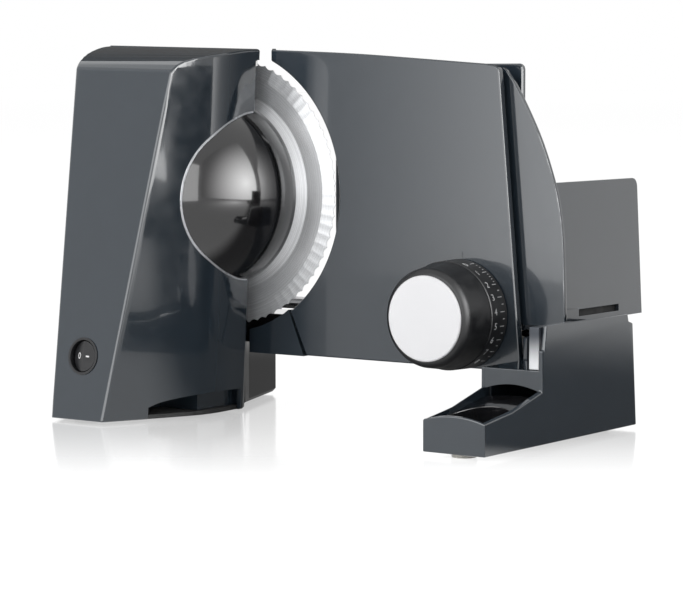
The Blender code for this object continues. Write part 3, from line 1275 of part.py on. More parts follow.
def build_worm(worm_axis):
    """Motor shaft with the worm cut on it."""
    half_pitch = WORM_LEAD / 4 - TOOTH_SLACK
    half_tip = half_pitch - TOOTH_FLANK * (WORM_TIP_RADIUS - WORM_PITCH_RADIUS)
    half_root = half_pitch + TOOTH_FLANK * (WORM_PITCH_RADIUS - WORM_ROOT_RADIUS)
    sunk = WORM_ROOT_RADIUS - OVERLAP / 4
    corners = ((sunk, -half_root), (WORM_TIP_RADIUS, -half_tip), (WORM_TIP_RADIUS, half_tip),
               (sunk, half_root))
    turns = int(WORM_LENGTH / WORM_LEAD) + 2
    start = BLADE_HEIGHT + WORM_LEAD / 2 - WORM_LEAD * (turns // 2 + 1)
    sections = []
    for step in range(turns * WORM_STEPS + 1):
        angle = 2 * math.pi * step / WORM_STEPS
        rise = start + WORM_LEAD * step / WORM_STEPS
        sections.append([
            (WORM_X + radius * math.cos(angle), WORM_Y + radius * math.sin(angle), rise + along)
            for radius, along in corners
        ])
    half = WORM_LENGTH / 2
    centre = (WORM_X, WORM_Y, 0.0)
    worm = add_object("worm_shaft", loft("worm_shaft", sections), BRUSHED_STEEL, worm_axis)
    low = BLADE_HEIGHT - half
    high = BLADE_HEIGHT + half
    keep_inside(worm, cylinder("worm_span", WORM_TIP_RADIUS * 2, low, high, "Z", centre, SIDES_SMALL))
    join(worm, cylinder("worm_core", WORM_ROOT_RADIUS, low, high, "Z", centre, WORM_STEPS))
    join(worm, cylinder("motor_shaft", WORM_SHAFT_RADIUS, WORM_SHAFT_BOTTOM, WORM_SHAFT_TOP, "Z", centre,
                        SIDES_SMALL))
    rotor = add_object(
        "armature",
        cylinder("armature", ARMATURE_RADIUS, ARMATURE_BOTTOM, ARMATURE_TOP, "Z", centre, SIDES_MEDIUM),
        CORE_IRON,
        worm_axis,
    )
    slots = []
    for number in range(ARMATURE_SLOTS):
        slot = box(f"armature_slot_{number}",
                   (ARMATURE_RADIUS - ARMATURE_SLOT_DEPTH, -ARMATURE_SLOT_WIDTH / 2, -WIDE),
                   (ARMATURE_RADIUS * 2, ARMATURE_SLOT_WIDTH / 2, WIDE))
        turn = Matrix.Rotation(2 * math.pi * number / ARMATURE_SLOTS, 4, "Z")
        slot.transform(Matrix.Translation(centre) @ turn)
        slots.append(slot)
    cut(rotor, merge_meshes("armature_slots", slots))
    cut(rotor, cylinder("armature_bore", WORM_SHAFT_RADIUS + FIT, -WIDE, WIDE, "Z", centre, SIDES_SMALL))


def build_motor():
    """Motor can with vents, its end bell, and the bracket that hangs it from the back."""
    centre = (WORM_X, WORM_Y, 0.0)
    bore = WORM_SHAFT_RADIUS + BUSH_RUNNING
    inner = MOTOR_RADIUS - MOTOR_WALL
    floor = MOTOR_BOTTOM + MOTOR_WALL
    can = add_object(
        "motor_can",
        revolve("motor_can", [(bore, MOTOR_BOTTOM), (bore, floor), (inner, floor), (inner, MOTOR_TOP),
                              (MOTOR_RADIUS, MOTOR_TOP), (MOTOR_RADIUS, MOTOR_BOTTOM)],
                "Z", centre, SIDES_MEDIUM, closed=True),
        BRUSHED_STEEL,
    )
    middle = (MOTOR_BOTTOM + MOTOR_TOP) / 2
    x, y, _ = centre
    for name, half_x, half_y in (("can_vents_side", MOTOR_RADIUS * 2, MOTOR_VENT_WIDTH / 2),
                                 ("can_vents_front", MOTOR_VENT_WIDTH / 2, MOTOR_RADIUS * 2)):
        cut(can, box(name, (x - half_x, y - half_y, middle - MOTOR_VENT_LENGTH / 2),
                     (x + half_x, y + half_y, middle + MOTOR_VENT_LENGTH / 2)))
    add_object(
        "motor_endbell",
        revolve("motor_endbell", [(bore, MOTOR_TOP + SEAM), (bore, ENDBELL_NECK_TOP),
                                  (ENDBELL_NECK_RADIUS, ENDBELL_NECK_TOP), (ENDBELL_NECK_RADIUS, ENDBELL_TOP),
                                  (MOTOR_RADIUS, ENDBELL_TOP), (MOTOR_RADIUS, MOTOR_TOP + SEAM)],
                "Z", centre, SIDES_MEDIUM, closed=True),
        BLACK_PLASTIC,
    )
    plate_bottom = ENDBELL_TOP + SEAM
    plate_rear = BACK_FRONT_Y - SEAM
    bracket = add_object(
        "motor_bracket",
        box("motor_bracket", (x - BRACKET_HALF_WIDTH, y - BRACKET_HALF_WIDTH, plate_bottom),
            (x + BRACKET_HALF_WIDTH, plate_rear, plate_bottom + BRACKET_THICKNESS)),
        BRUSHED_STEEL,
    )
    join(bracket, box("bracket_flange",
                      (x - BRACKET_HALF_WIDTH, plate_rear - BRACKET_THICKNESS, plate_bottom + FIT),
                      (x + BRACKET_HALF_WIDTH, plate_rear, plate_bottom + BRACKET_RISE)))
    cut(bracket, cylinder("bracket_hole", ENDBELL_NECK_RADIUS + FIT, plate_bottom - OVERLAP,
                          plate_bottom + OVERLAP * 2, "Z", centre, SIDES_MEDIUM))


def build_frame():
    """Inner plate on three pillars, with the spindle's and the worm's far bearings."""
    outline = [(x, BLADE_HEIGHT + rise) for x, rise in FRAME_OUTLINE]
    frame = add_object("gear_frame", prism("gear_frame", outline, "Y", FRAME_BACK_Y, FRAME_FRONT_Y),
                       BRUSHED_STEEL)
    for number, (x, rise) in enumerate(FRAME_PILLARS, 1):
        join(frame, cylinder(f"frame_pillar_{number}", FRAME_PILLAR_RADIUS, FRAME_FRONT_Y - OVERLAP / 2,
                             BACK_FRONT_Y - SEAM, "Y", (x, 0.0, BLADE_HEIGHT + rise), SIDES_TINY))
    join(frame, box("frame_arm",
                    (WORM_X - FRAME_ARM_HALF_WIDTH, FRAME_FRONT_Y - OVERLAP / 2, FRAME_ARM_BOTTOM),
                    (WORM_X + FRAME_ARM_HALF_WIDTH, WORM_Y + FRAME_ARM_HALF_WIDTH, FRAME_ARM_TOP)))
    cut(frame, cylinder("end_bush_hole", END_BUSH_RADIUS + FIT, -WIDE, WIDE, "Y", BLADE_CENTRE, SIDES_MEDIUM))
    centre = (WORM_X, WORM_Y, 0.0)
    cut(frame, cylinder("worm_bush_hole", WORM_BUSH_RADIUS + FIT, FRAME_ARM_BOTTOM - OVERLAP,
                        FRAME_ARM_TOP + OVERLAP, "Z", centre, SIDES_MEDIUM))
    bore = SPINDLE_TAIL_RADIUS + BUSH_RUNNING
    add_object(
        "spindle_end_bush",
        revolve("spindle_end_bush", [(bore, END_BUSH_BACK_Y), (bore, END_BUSH_FRONT_Y),
                                     (END_BUSH_RADIUS, END_BUSH_FRONT_Y), (END_BUSH_RADIUS, END_BUSH_BACK_Y)],
                "Y", BLADE_CENTRE, SIDES_MEDIUM, closed=True),
        BRONZE,
    )
    bore = WORM_SHAFT_RADIUS + BUSH_RUNNING
    low = FRAME_ARM_BOTTOM - WORM_BUSH_RISE
    high = FRAME_ARM_TOP + WORM_BUSH_RISE
    add_object(
        "worm_bush",
        revolve("worm_bush", [(bore, low), (bore, high), (WORM_BUSH_RADIUS, high), (WORM_BUSH_RADIUS, low)],
                "Z", centre, SIDES_MEDIUM, closed=True),
        BRONZE,
    )


# Stop plate and dial


def corner_arc(before, corner, after, radius, steps=4):
    """Round one corner of an outline."""
    point = Vector(corner)
    first = (Vector(before) - point).normalized()
    second = (Vector(after) - point).normalized()
    half = first.angle(second) / 2
    centre = point + (first + second).normalized() * (radius / math.sin(half))
    start = point + first * (radius / math.tan(half)) - centre
    end = point + second * (radius / math.tan(half)) - centre
    sweep = start.angle_signed(end)
    return [
        tuple(centre + Matrix.Rotation(-sweep * step / steps, 2) @ start)
        for step in range(steps + 1)
    ]


def plate_outline():
    """Front view of the stop plate in X and Z, anticlockwise."""
    start = math.atan2(PLATE_NOTCH_FROM[1] - BLADE_HEIGHT, PLATE_NOTCH_FROM[0])
    end = math.atan2(PLATE_NOTCH_TO[1] - BLADE_HEIGHT, PLATE_NOTCH_TO[0])
    notch = arc((0.0, BLADE_HEIGHT), PLATE_NOTCH_RADIUS, start, end, PLATE_NOTCH_STEPS)
    top = smooth_line(PLATE_TOP_EDGE, CURVE_STEPS)
    return (
        [PLATE_FOOT_LEFT]
        + corner_arc(PLATE_FOOT_LEFT, PLATE_FOOT_RIGHT, PLATE_HEAD_RIGHT, PLATE_CORNER)
        + corner_arc(PLATE_FOOT_RIGHT, PLATE_HEAD_RIGHT, top[0], PLATE_CORNER)
        + top
        + notch
    )


def build_plate():
    """Stop plate, and the carrier with two bars that slides in the bridge."""
    plate = add_object("stop_plate", prism("stop_plate", plate_outline(), "Y", PLATE_FRONT_Y, PLATE_REAR_Y),
                       SLATE_PLASTIC)
    round_edges(plate, PLATE_ROUND, 1, SQUARE_ANGLE)
    dial_centre = (DIAL_X, 0.0, DIAL_Z)
    cut(plate, cylinder("plate_hole", DIAL_STEM_RADIUS + SEAM, -WIDE, WIDE, "Y", dial_centre, SIDES_MEDIUM))
    front = PLATE_REAR_Y + SEAM
    carrier = add_object(
        "plate_carrier",
        box("plate_carrier", (CARRIER_LEFT_X, front, CARRIER_BOTTOM), (CARRIER_RIGHT_X, CARRIER_REAR_Y,
                                                                       CARRIER_TOP)),
        BRUSHED_STEEL,
    )
    for number, x in enumerate(BAR_XS, 1):
        join(carrier, cylinder(f"guide_bar_{number}", BAR_RADIUS, CARRIER_REAR_Y - OVERLAP, BAR_END_Y, "Y",
                               (x, 0.0, BAR_Z), SIDES_SMALL))
        bore = BAR_RADIUS + BUSH_RUNNING
        add_object(
            f"plate_bush_{number}",
            revolve("plate_bush", [(bore, BRIDGE_FRONT_Y), (bore, BRIDGE_REAR_Y),
                                   (PLATE_BUSH_RADIUS, BRIDGE_REAR_Y), (PLATE_BUSH_RADIUS, BRIDGE_FRONT_Y)],
                    "Y", (x, 0.0, BAR_Z), SIDES_SMALL, closed=True),
            NYLON,
        )


def build_dial(dial_axis):
    """Thickness dial: scale ring, flared grip, silver cap, and the hub with its stem and clip."""
    add_object(
        "dial_scale",
        revolve("dial_scale", [(SCALE_BORE, SCALE_BACK_Y), (SCALE_BORE, SCALE_FRONT_Y),
                               (SCALE_FRONT_RADIUS, SCALE_FRONT_Y), (SCALE_RADIUS, SCALE_BACK_Y)],
                "Y", segments=SIDES_DIAL, closed=True),
        BLACK_PLASTIC,
        dial_axis,
        local=True,
    )
    recess = CAP_RADIUS + SEAM
    add_object(
        "dial_grip",
        revolve("dial_grip", [(0.0, GRIP_BACK_Y), (GRIP_BACK_RADIUS, GRIP_BACK_Y),
                              (GRIP_FRONT_RADIUS, GRIP_SHOULDER_Y), (GRIP_LIP_RADIUS, GRIP_FRONT_Y),
                              (recess, GRIP_FRONT_Y), (recess, CAP_SEAT_Y + SEAM), (0.0, CAP_SEAT_Y + SEAM)],
                "Y", segments=SIDES_DIAL),
        BLACK_PLASTIC,
        dial_axis,
        local=True,
    )
    add_object(
        "dial_cap",
        revolve("dial_cap", [(0.0, CAP_SEAT_Y), (CAP_RADIUS, CAP_SEAT_Y),
                             (CAP_RADIUS, CAP_FRONT_Y + CAP_ROUND), (CAP_RADIUS - CAP_ROUND, CAP_FRONT_Y),
                             (0.0, CAP_FRONT_Y)], "Y", segments=SIDES_DIAL),
        CAP_SILVER,
        dial_axis,
        local=True,
    )
    add_object(
        "dial_hub",
        revolve("dial_hub", [(0.0, DIAL_HUB_FRONT_Y), (DIAL_HUB_RADIUS, DIAL_HUB_FRONT_Y),
                             (DIAL_HUB_RADIUS, DIAL_HUB_BACK_Y), (DIAL_STEM_RADIUS, DIAL_HUB_BACK_Y),
                             (DIAL_STEM_RADIUS, DIAL_STEM_BACK_Y), (DIAL_CLIP_RADIUS, DIAL_STEM_BACK_Y),
                             (DIAL_CLIP_RADIUS, DIAL_CLIP_BACK_Y), (0.0, DIAL_CLIP_BACK_Y)], "Y"),
        NYLON,
        dial_axis,
        local=True,
    )


# Carriage and leftover holder


def build_carriage(carriage_axis):
    """Food table with its back wall, the thumb guard, and what it slides on."""
    table = rounded_box_outline(BED_LEFT_X, BED_RIGHT_X, BED_FRONT_Y, BED_REAR_Y, BED_ROUND, 4)
    bed = add_object("carriage_bed", prism("carriage_bed", table, "Z", BED_TOP - BED_THICKNESS, BED_TOP),
                     SLATE_PLASTIC, carriage_axis)
    inner_x = BED_RIGHT_X - BACK_WALL
    crown = (BED_REAR_Y, BACK_WALL_TOP)
    heel = (BACK_WALL_HEEL_Y, BACK_WALL_BOTTOM)
    side = ([(BED_FRONT_Y, BACK_WALL_BOTTOM)]
            + [heel]
            + corner_arc(heel, crown, (BED_FRONT_Y, BACK_WALL_TOP), BED_ROUND)
            + [(BED_FRONT_Y, BACK_WALL_TOP)])
    join(bed, prism("back_wall", side, "X", inner_x, BED_RIGHT_X + FIT / 2))
    span = inner_x - BED_LEFT_X
    length = (BED_REAR_Y - BED_FRONT_Y) / (BED_RIBS + 1)
    for number in range(BED_RIBS):
        y = BED_FRONT_Y + length * (number + 1)
        join(bed, box(f"bed_rib_{number}", (BED_LEFT_X + BED_ROUND, y - BED_RIB_WIDTH / 2, BED_TOP - OVERLAP),
                      (BED_LEFT_X + span - BED_ROUND, y + BED_RIB_WIDTH / 2, BED_TOP + BED_RIB_RISE)))
    cut(bed, box("wall_slot", (inner_x - OVERLAP, SLOT_FRONT_Y, SLOT_BOTTOM),
                 (BED_RIGHT_X + OVERLAP, SLOT_REAR_Y, SLOT_TOP)))
    cut(bed, box("rod_notch", (inner_x - OVERLAP, ROD_Y - ROD_NOTCH_HALF, BACK_WALL_BOTTOM - OVERLAP),
                 (BED_RIGHT_X + OVERLAP, ROD_Y + ROD_NOTCH_HALF, ROD_Z + ROD_NOTCH_HALF)))
    fin_outline = [FIN_HEEL] + smooth_line(FIN_CURVE, CURVE_STEPS) + [FIN_TIP]
    fin = add_object("thumb_guard", prism("thumb_guard", fin_outline, "Y", FIN_FRONT_Y, FIN_REAR_Y),
                     SLATE_PLASTIC, carriage_axis)
    round_edges(fin, FIN_ROUND, 1, SQUARE_ANGLE)
    under = BED_TOP - BED_THICKNESS - SEAM
    sleeve = add_object(
        "rod_sleeve",
        box("rod_sleeve", (SLEEVE_LEFT_X, ROD_Y - SLEEVE_HALF_WIDTH, SLEEVE_BOTTOM),
            (SLEEVE_RIGHT_X, ROD_Y + SLEEVE_HALF_WIDTH, under)),
        BLACK_PLASTIC,
        carriage_axis,
    )
    cut(sleeve, cylinder("sleeve_bore", ROD_RADIUS + BUSH_RUNNING, -WIDE, WIDE, "X", (0.0, ROD_Y, ROD_Z),
                         SIDES_SMALL))
    add_object(
        "glide_block",
        box("glide_block", (GLIDE_LEFT_X, GLIDE_FRONT_Y, BRIDGE_TOP + SEAM),
            (GLIDE_RIGHT_X, GLIDE_REAR_Y, under)),
        NYLON,
        carriage_axis,
    )


def build_holder(holder_axis):
    """Leftover holder: plate, spikes, handle, and the hook over the back wall."""
    outline = rounded_box_outline(HOLDER_LEFT_X, HOLDER_RIGHT_X, HOLDER_BOTTOM, HOLDER_TOP, HOLDER_CORNER, 3)
    plate = add_object("holder_plate", prism("holder_plate", outline, "Y", HOLDER_FRONT_Y, HOLDER_REAR_Y),
                       SLATE_PLASTIC, holder_axis)
    round_edges(plate, PLATE_ROUND, 1, SQUARE_ANGLE)
    half_x = SPIKE_PITCH_X * SPIKE_COLUMNS / 2
    half_z = SPIKE_PITCH_Z * SPIKE_ROWS / 2
    spikes = add_object(
        "holder_spikes",
        box("holder_spikes", (SPIKE_CENTRE_X - half_x, SPIKE_STRIP_Y, SPIKE_CENTRE_Z - half_z),
            (SPIKE_CENTRE_X + half_x, HOLDER_FRONT_Y - SEAM, SPIKE_CENTRE_Z + half_z)),
        BRUSHED_STEEL,
        holder_axis,
    )
    pins = []
    for column in range(SPIKE_COLUMNS):
        for row in range(SPIKE_ROWS):
            x = SPIKE_CENTRE_X + (column - (SPIKE_COLUMNS - 1) / 2) * SPIKE_PITCH_X
            z = SPIKE_CENTRE_Z + (row - (SPIKE_ROWS - 1) / 2) * SPIKE_PITCH_Z
            pins.append(cylinder(f"spike_{column}_{row}", FIT, SPIKE_TIP_Y, SPIKE_STRIP_Y + OVERLAP / 4, "Y",
                                 (x, 0.0, z), SPIKE_SIDES, SPIKE_RADIUS))
    join(spikes, merge_meshes("spike_pins", pins))
    start = HOLDER_REAR_Y + SEAM
    line = [(radius, start + rise) for radius, rise in HANDLE_PROFILE]
    profile = [(0.0, start)] + line + [(0.0, line[-1][1])]
    grip = revolve("holder_handle", profile, "Y", (HANDLE_X, 0.0, HANDLE_Z), SIDES_MEDIUM)
    add_object("holder_handle", grip, BLACK_PLASTIC, holder_axis)
    wall_left = BED_RIGHT_X - BACK_WALL - SEAM * 2
    wall_right = BED_RIGHT_X + SEAM * 2
    roof = BACK_WALL_TOP + SEAM * 2
    shape = ((HOOK_INNER_X, HOOK_INNER_BOTTOM), (wall_left, HOOK_INNER_BOTTOM), (wall_left, roof),
             (wall_right, roof), (wall_right, HOOK_OUTER_BOTTOM), (HOOK_RIGHT_X, HOOK_OUTER_BOTTOM),
             (HOOK_RIGHT_X, HOOK_TOP), (HOOK_INNER_X, HOOK_TOP))
    hook = add_object("holder_guide", prism("holder_guide", shape, "Y", start, HOOK_REAR_Y), BLACK_PLASTIC,
                      holder_axis)
    join(hook, box("hook_flange", (HOOK_FLANGE_LEFT_X, start, HOOK_INNER_BOTTOM + OVERLAP),
                   (HOOK_INNER_X + OVERLAP, start + OVERLAP, HOOK_TOP - OVERLAP)))


def main():
    """Build every piece of the slicer."""
    switch_axis = switch_frame()
    blade_axis = new_pivot("blade_axis", BLADE_CENTRE)
    worm_axis = new_pivot("worm_axis", (WORM_X, WORM_Y, BLADE_HEIGHT))
    build_tower(switch_axis)
    build_dome()
    build_back()
    build_bottom_cover()
    build_bay_liner()
    build_rubber_feet()
    build_switch(switch_axis)
    build_screws()
    build_base()
    build_guard()
    build_foot()
    build_rod()
    build_blade(blade_axis)
    build_spindle(blade_axis)
    build_wheel(blade_axis)
    build_lock(blade_axis)
    build_worm(worm_axis)
    build_motor()
    build_frame()
    build_plate()
    build_dial(new_pivot("dial_axis", (DIAL_X, 0.0, DIAL_Z)))
    carriage_axis = new_pivot("carriage_axis", (BED_RIGHT_X, ROD_Y, ROD_Z))
    build_carriage(carriage_axis)
    build_holder(new_pivot("holder_axis", (BED_RIGHT_X, HOLDER_REAR_Y, BACK_WALL_TOP)))


main()
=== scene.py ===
"""Kitchen food slicer: camera, studio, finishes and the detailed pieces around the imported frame."""

import logging
import math
from dataclasses import dataclass
from enum import Enum
from functools import reduce

import bmesh
import bpy
from mathutils import Matrix, Vector


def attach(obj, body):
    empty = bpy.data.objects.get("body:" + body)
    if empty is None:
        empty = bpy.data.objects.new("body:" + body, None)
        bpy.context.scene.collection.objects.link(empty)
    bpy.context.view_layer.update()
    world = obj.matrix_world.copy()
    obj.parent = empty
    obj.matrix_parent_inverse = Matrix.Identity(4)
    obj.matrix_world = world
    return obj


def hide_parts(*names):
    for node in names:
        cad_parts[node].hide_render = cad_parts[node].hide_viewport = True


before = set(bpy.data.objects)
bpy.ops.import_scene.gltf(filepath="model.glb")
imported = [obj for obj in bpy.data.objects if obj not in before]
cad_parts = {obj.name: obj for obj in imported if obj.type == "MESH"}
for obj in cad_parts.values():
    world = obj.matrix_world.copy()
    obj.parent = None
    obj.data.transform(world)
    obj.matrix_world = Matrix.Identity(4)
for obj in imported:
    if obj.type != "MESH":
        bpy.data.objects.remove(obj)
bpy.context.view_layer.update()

LOG = logging.getLogger("slicer")

Flat = tuple[float, float]
Place = tuple[float, float, float]
Colour = tuple[float, float, float]

MM = 0.001
CENTRE_X = 87.5
CENTRE_Y = 14.5
BLADE_HEIGHT = 138.0
SEAM = 0.3
FAR = 600.0
WELD = 0.0005
LEAST_PART = 0.002
LEAST_CHANGE = 0.000001
LOST = 100000
SOLVER_SETTINGS = ((False, False), (False, True), (True, False))


class Axis(Enum):
    """One of the frame's axes."""

    X = "X"
    Y = "Y"
    Z = "Z"

    def point(self, level: float, across: Flat) -> Vector:
        """Place a flat point at a level along the axis.

        Args:
            level: Distance along the axis, in millimetres.
            across: The other two coordinates, in millimetres.

        Returns:
            The point in space.
        """
        first, second = across
        if self is Axis.X:
            return Vector((level, first, second))
        if self is Axis.Y:
            return Vector((first, level, second))
        return Vector((first, second, level))

    def turn(self) -> Matrix:
        """Return the turn that carries local Z to the axis."""
        if self is Axis.X:
            return Matrix.Rotation(math.pi / 2, 4, "Y")
        if self is Axis.Y:
            return Matrix.Rotation(-math.pi / 2, 4, "X")
        return Matrix.Identity(4)


class Way(Enum):
    """What a second shape does to a first one."""

    CUT = "DIFFERENCE"
    JOIN = "UNION"
    KEEP = "INTERSECT"


# Bench: modelling steps that every sub-assembly uses. Lengths are in millimetres until a piece is settled.


def pick(piece: bpy.types.Object) -> None:
    """Select one object alone and make it active."""
    bpy.ops.object.select_all(action="DESELECT")
    piece.select_set(True)
    bpy.context.view_layer.objects.active = piece


def edit_all(piece: bpy.types.Object) -> None:
    """Open a piece in edit mode with everything selected."""
    pick(piece)
    bpy.ops.object.mode_set(mode="EDIT")
    bpy.ops.mesh.select_all(action="SELECT")


def close_edit() -> None:
    """Go back to object mode."""
    bpy.ops.object.mode_set(mode="OBJECT")


def mend(piece: bpy.types.Object, reach: float = WELD) -> bpy.types.Object:
    """Merge doubles and turn every face outwards.

    Args:
        piece: The piece to mend.
        reach: Distance within which points merge.

    Returns:
        The same piece.
    """
    edit_all(piece)
    bpy.ops.mesh.remove_doubles(threshold=reach)
    bpy.ops.mesh.normals_make_consistent(inside=False)
    close_edit()
    return piece


def apply_step(piece: bpy.types.Object, step: bpy.types.Modifier) -> None:
    """Apply one modifier."""
    pick(piece)
    bpy.ops.object.modifier_apply(modifier=step.name)


def measure(mesh: bpy.types.Mesh) -> tuple[float, int]:
    """Measure a mesh.

    Args:
        mesh: The mesh to measure.

    Returns:
        Its volume and its number of open edges.
    """
    work = bmesh.new()
    work.from_mesh(mesh)
    found = (work.calc_volume(signed=True), sum(1 for edge in work.edges if len(edge.link_faces) != 2))
    work.free()
    return found


def fuse(piece: bpy.types.Object, tool: bpy.types.Object, way: Way) -> bpy.types.Object:
    """Cut, join or keep a piece with a tool, and remove the tool.

    Each result is measured, and other settings of the solver are tried until one is sound. A sound result has
    no open edge, and its volume has moved the way that the step should move it.

    Args:
        piece: The piece that is changed.
        tool: The shape that changes it.
        way: What the tool does.

    Returns:
        The changed piece.
    """
    before = piece.data.copy()
    volume, _open_edges = measure(before)
    best: tuple[int, bpy.types.Mesh] | None = None
    for crossed, holed in SOLVER_SETTINGS:
        piece.data = before.copy()
        step = piece.modifiers.new("fuse", "BOOLEAN")
        step.operation = way.value
        step.solver = "EXACT"
        step.use_self = crossed
        step.use_hole_tolerant = holed
        step.object = tool
        apply_step(piece, step)
        after, open_edges = measure(piece.data)
        change = (after - volume) / volume
        kept = change > LEAST_CHANGE if way is Way.JOIN else LEAST_PART - 1.0 < change < -LEAST_CHANGE
        score = open_edges if kept else LOST
        if best is None or score < best[0]:
            best = (score, piece.data)
        if score == 0:
            break
        LOG.warning("%s %s: %.1f to %.1f, %d open", piece.name, tool.name, volume, after, open_edges)
    piece.data = best[1]
    bpy.data.objects.remove(tool, do_unlink=True)
    return piece


def close_gaps(piece: bpy.types.Object) -> bpy.types.Object:
    """Merge what nearly touches and close small gaps left by the cuts.

    Args:
        piece: The piece to close.

    Returns:
        The same piece.
    """
    edit_all(piece)
    bpy.ops.mesh.remove_doubles(threshold=0.01)
    bpy.ops.mesh.dissolve_degenerate(threshold=0.005)
    bpy.ops.mesh.delete_loose()
    bpy.ops.mesh.select_all(action="SELECT")
    bpy.ops.mesh.fill_holes(sides=8)
    close_edit()
    return piece


def split(piece: bpy.types.Object) -> bpy.types.Object:
    """Split a piece's faces into triangles, so that a slightly twisted face cuts cleanly.

    Args:
        piece: The piece to split.

    Returns:
        The same piece.
    """
    step = piece.modifiers.new("split", "TRIANGULATE")
    apply_step(piece, step)
    return piece


def soften(piece: bpy.types.Object, width: float, segments: int = 3, angle: float = 30.0) -> bpy.types.Object:
    """Round the edges that are sharper than an angle.

    Args:
        piece: The piece whose edges are rounded.
        width: Width of the rounding.
        segments: Steps across the rounding.
        angle: Sharpness in degrees above which an edge is rounded.

    Returns:
        The same piece.
    """
    step = piece.modifiers.new("soften", "BEVEL")
    step.width = width
    step.segments = segments
    step.limit_method = "ANGLE"
    step.angle_limit = math.radians(angle)
    step.use_clamp_overlap = False
    apply_step(piece, step)
    return piece


def shade(piece: bpy.types.Object, angle: float = 38.0) -> bpy.types.Object:
    """Shade a piece smooth below an angle, with its broad faces kept flat.

    Args:
        piece: The piece to shade.
        angle: Sharpness in degrees that stays sharp.

    Returns:
        The same piece.
    """
    pick(piece)
    bpy.ops.object.shade_smooth_by_angle(angle=math.radians(angle))
    step = piece.modifiers.new("even", "WEIGHTED_NORMAL")
    step.keep_sharp = True
    apply_step(piece, step)
    return piece


def start_ring(name: str, count: int, filled: bool) -> bpy.types.Object:
    """Add a circle primitive that the next steps shape.

    Args:
        name: Name of the new piece.
        count: Number of points.
        filled: Whether the circle is a face.

    Returns:
        The new piece.
    """
    bpy.ops.object.select_all(action="DESELECT")
    bpy.ops.mesh.primitive_circle_add(vertices=count, radius=1.0, fill_type="NGON" if filled else "NOTHING")
    piece = bpy.context.active_object
    piece.name = name
    return piece


def loft(name: str, sections: list[list[Vector]]) -> bpy.types.Object:
    """Extrude a first section through the others, point by point.

    Args:
        name: Name of the new piece.
        sections: Closed outlines with the same number of points.

    Returns:
        A closed solid.
    """
    piece = start_ring(name, len(sections[0]), True)
    for vertex, point in zip(piece.data.vertices, sections[0]):
        vertex.co = point
    for below, above in zip(sections, sections[1:]):
        open_last_cap(piece)
        bpy.ops.mesh.extrude_region_move(TRANSFORM_OT_translate={"value": (0.0, 0.0, 0.0)})
        close_edit()
        order = {tuple(round(value, 2) for value in point): number for number, point in enumerate(below)}
        for vertex in piece.data.vertices:
            if vertex.select:
                vertex.co = above[order[tuple(round(value, 2) for value in vertex.co)]]
        piece.data.update()
    return mend(piece)


def open_last_cap(piece: bpy.types.Object) -> None:
    """Open a piece in edit mode with only its last cap selected.

    Args:
        piece: The piece to open.
    """
    pick(piece)
    caps = [face for face in piece.data.polygons if len(face.vertices) != 4]
    cap = caps[-1] if caps else piece.data.polygons[-1]
    newest = [face for face in piece.data.polygons if face.select]
    if len(newest) == 1:
        cap = newest[0]
    wanted = cap.index
    bpy.ops.object.mode_set(mode="EDIT")
    bpy.ops.mesh.select_mode(type="FACE")
    bpy.ops.mesh.select_all(action="DESELECT")
    bpy.ops.object.mode_set(mode="OBJECT")
    piece.data.polygons[wanted].select = True
    bpy.ops.object.mode_set(mode="EDIT")


def plate(name: str, outline: list[Flat], axis: Axis, start: float, end: float) -> bpy.types.Object:
    """Extrude a flat outline along an axis.

    Args:
        name: Name of the new piece.
        outline: Points in the plane across the axis.
        axis: Direction of the extrusion.
        start: Level of the first face.
        end: Level of the last face.

    Returns:
        A closed solid.
    """
    return loft(name, [[axis.point(level, point) for point in outline] for level in (start, end)])


def block(name: str, low: Place, high: Place) -> bpy.types.Object:
    """A block between two corners.

    Args:
        name: Name of the new piece.
        low: Lowest corner.
        high: Highest corner.

    Returns:
        A closed solid.
    """
    bpy.ops.object.select_all(action="DESELECT")
    bpy.ops.mesh.primitive_cube_add(size=1.0)
    piece = bpy.context.active_object
    piece.name = name
    middle = (Vector(low) + Vector(high)) / 2
    size = Vector(high) - Vector(low)
    piece.data.transform(Matrix.Translation(middle) @ Matrix.Diagonal((*size, 1.0)))
    return piece


def turned(name: str, profile: list[Flat], axis: Axis, centre: Place, sides: int,
           ring: bool = False) -> bpy.types.Object:
    """Turn a profile round an axis.

    Args:
        name: Name of the new piece.
        profile: Points of (radius, place along the axis).
        axis: Axis of the turned shape.
        centre: A point on the axis.
        sides: Steps round the axis.
        ring: Whether the profile closes on itself away from the axis.

    Returns:
        A closed solid.
    """
    piece = start_ring(name, len(profile), False)
    for vertex, (radius, along) in zip(piece.data.vertices, profile):
        vertex.co = (radius, 0.0, along)
    if not ring:
        last = len(profile) - 1
        pick(piece)
        bpy.ops.object.mode_set(mode="EDIT")
        bpy.ops.mesh.select_mode(type="EDGE")
        bpy.ops.mesh.select_all(action="DESELECT")
        bpy.ops.object.mode_set(mode="OBJECT")
        for edge in piece.data.edges:
            edge.select = set(edge.vertices) == {0, last}
        bpy.ops.object.mode_set(mode="EDIT")
        bpy.ops.mesh.delete(type="EDGE")
        close_edit()
    step = piece.modifiers.new("turn", "SCREW")
    step.axis = "Z"
    step.angle = 2 * math.pi
    step.steps = sides
    step.render_steps = sides
    step.use_merge_vertices = True
    step.merge_threshold = 0.0001
    apply_step(piece, step)
    piece.data.transform(Matrix.Translation(centre) @ axis.turn())
    return mend(piece)


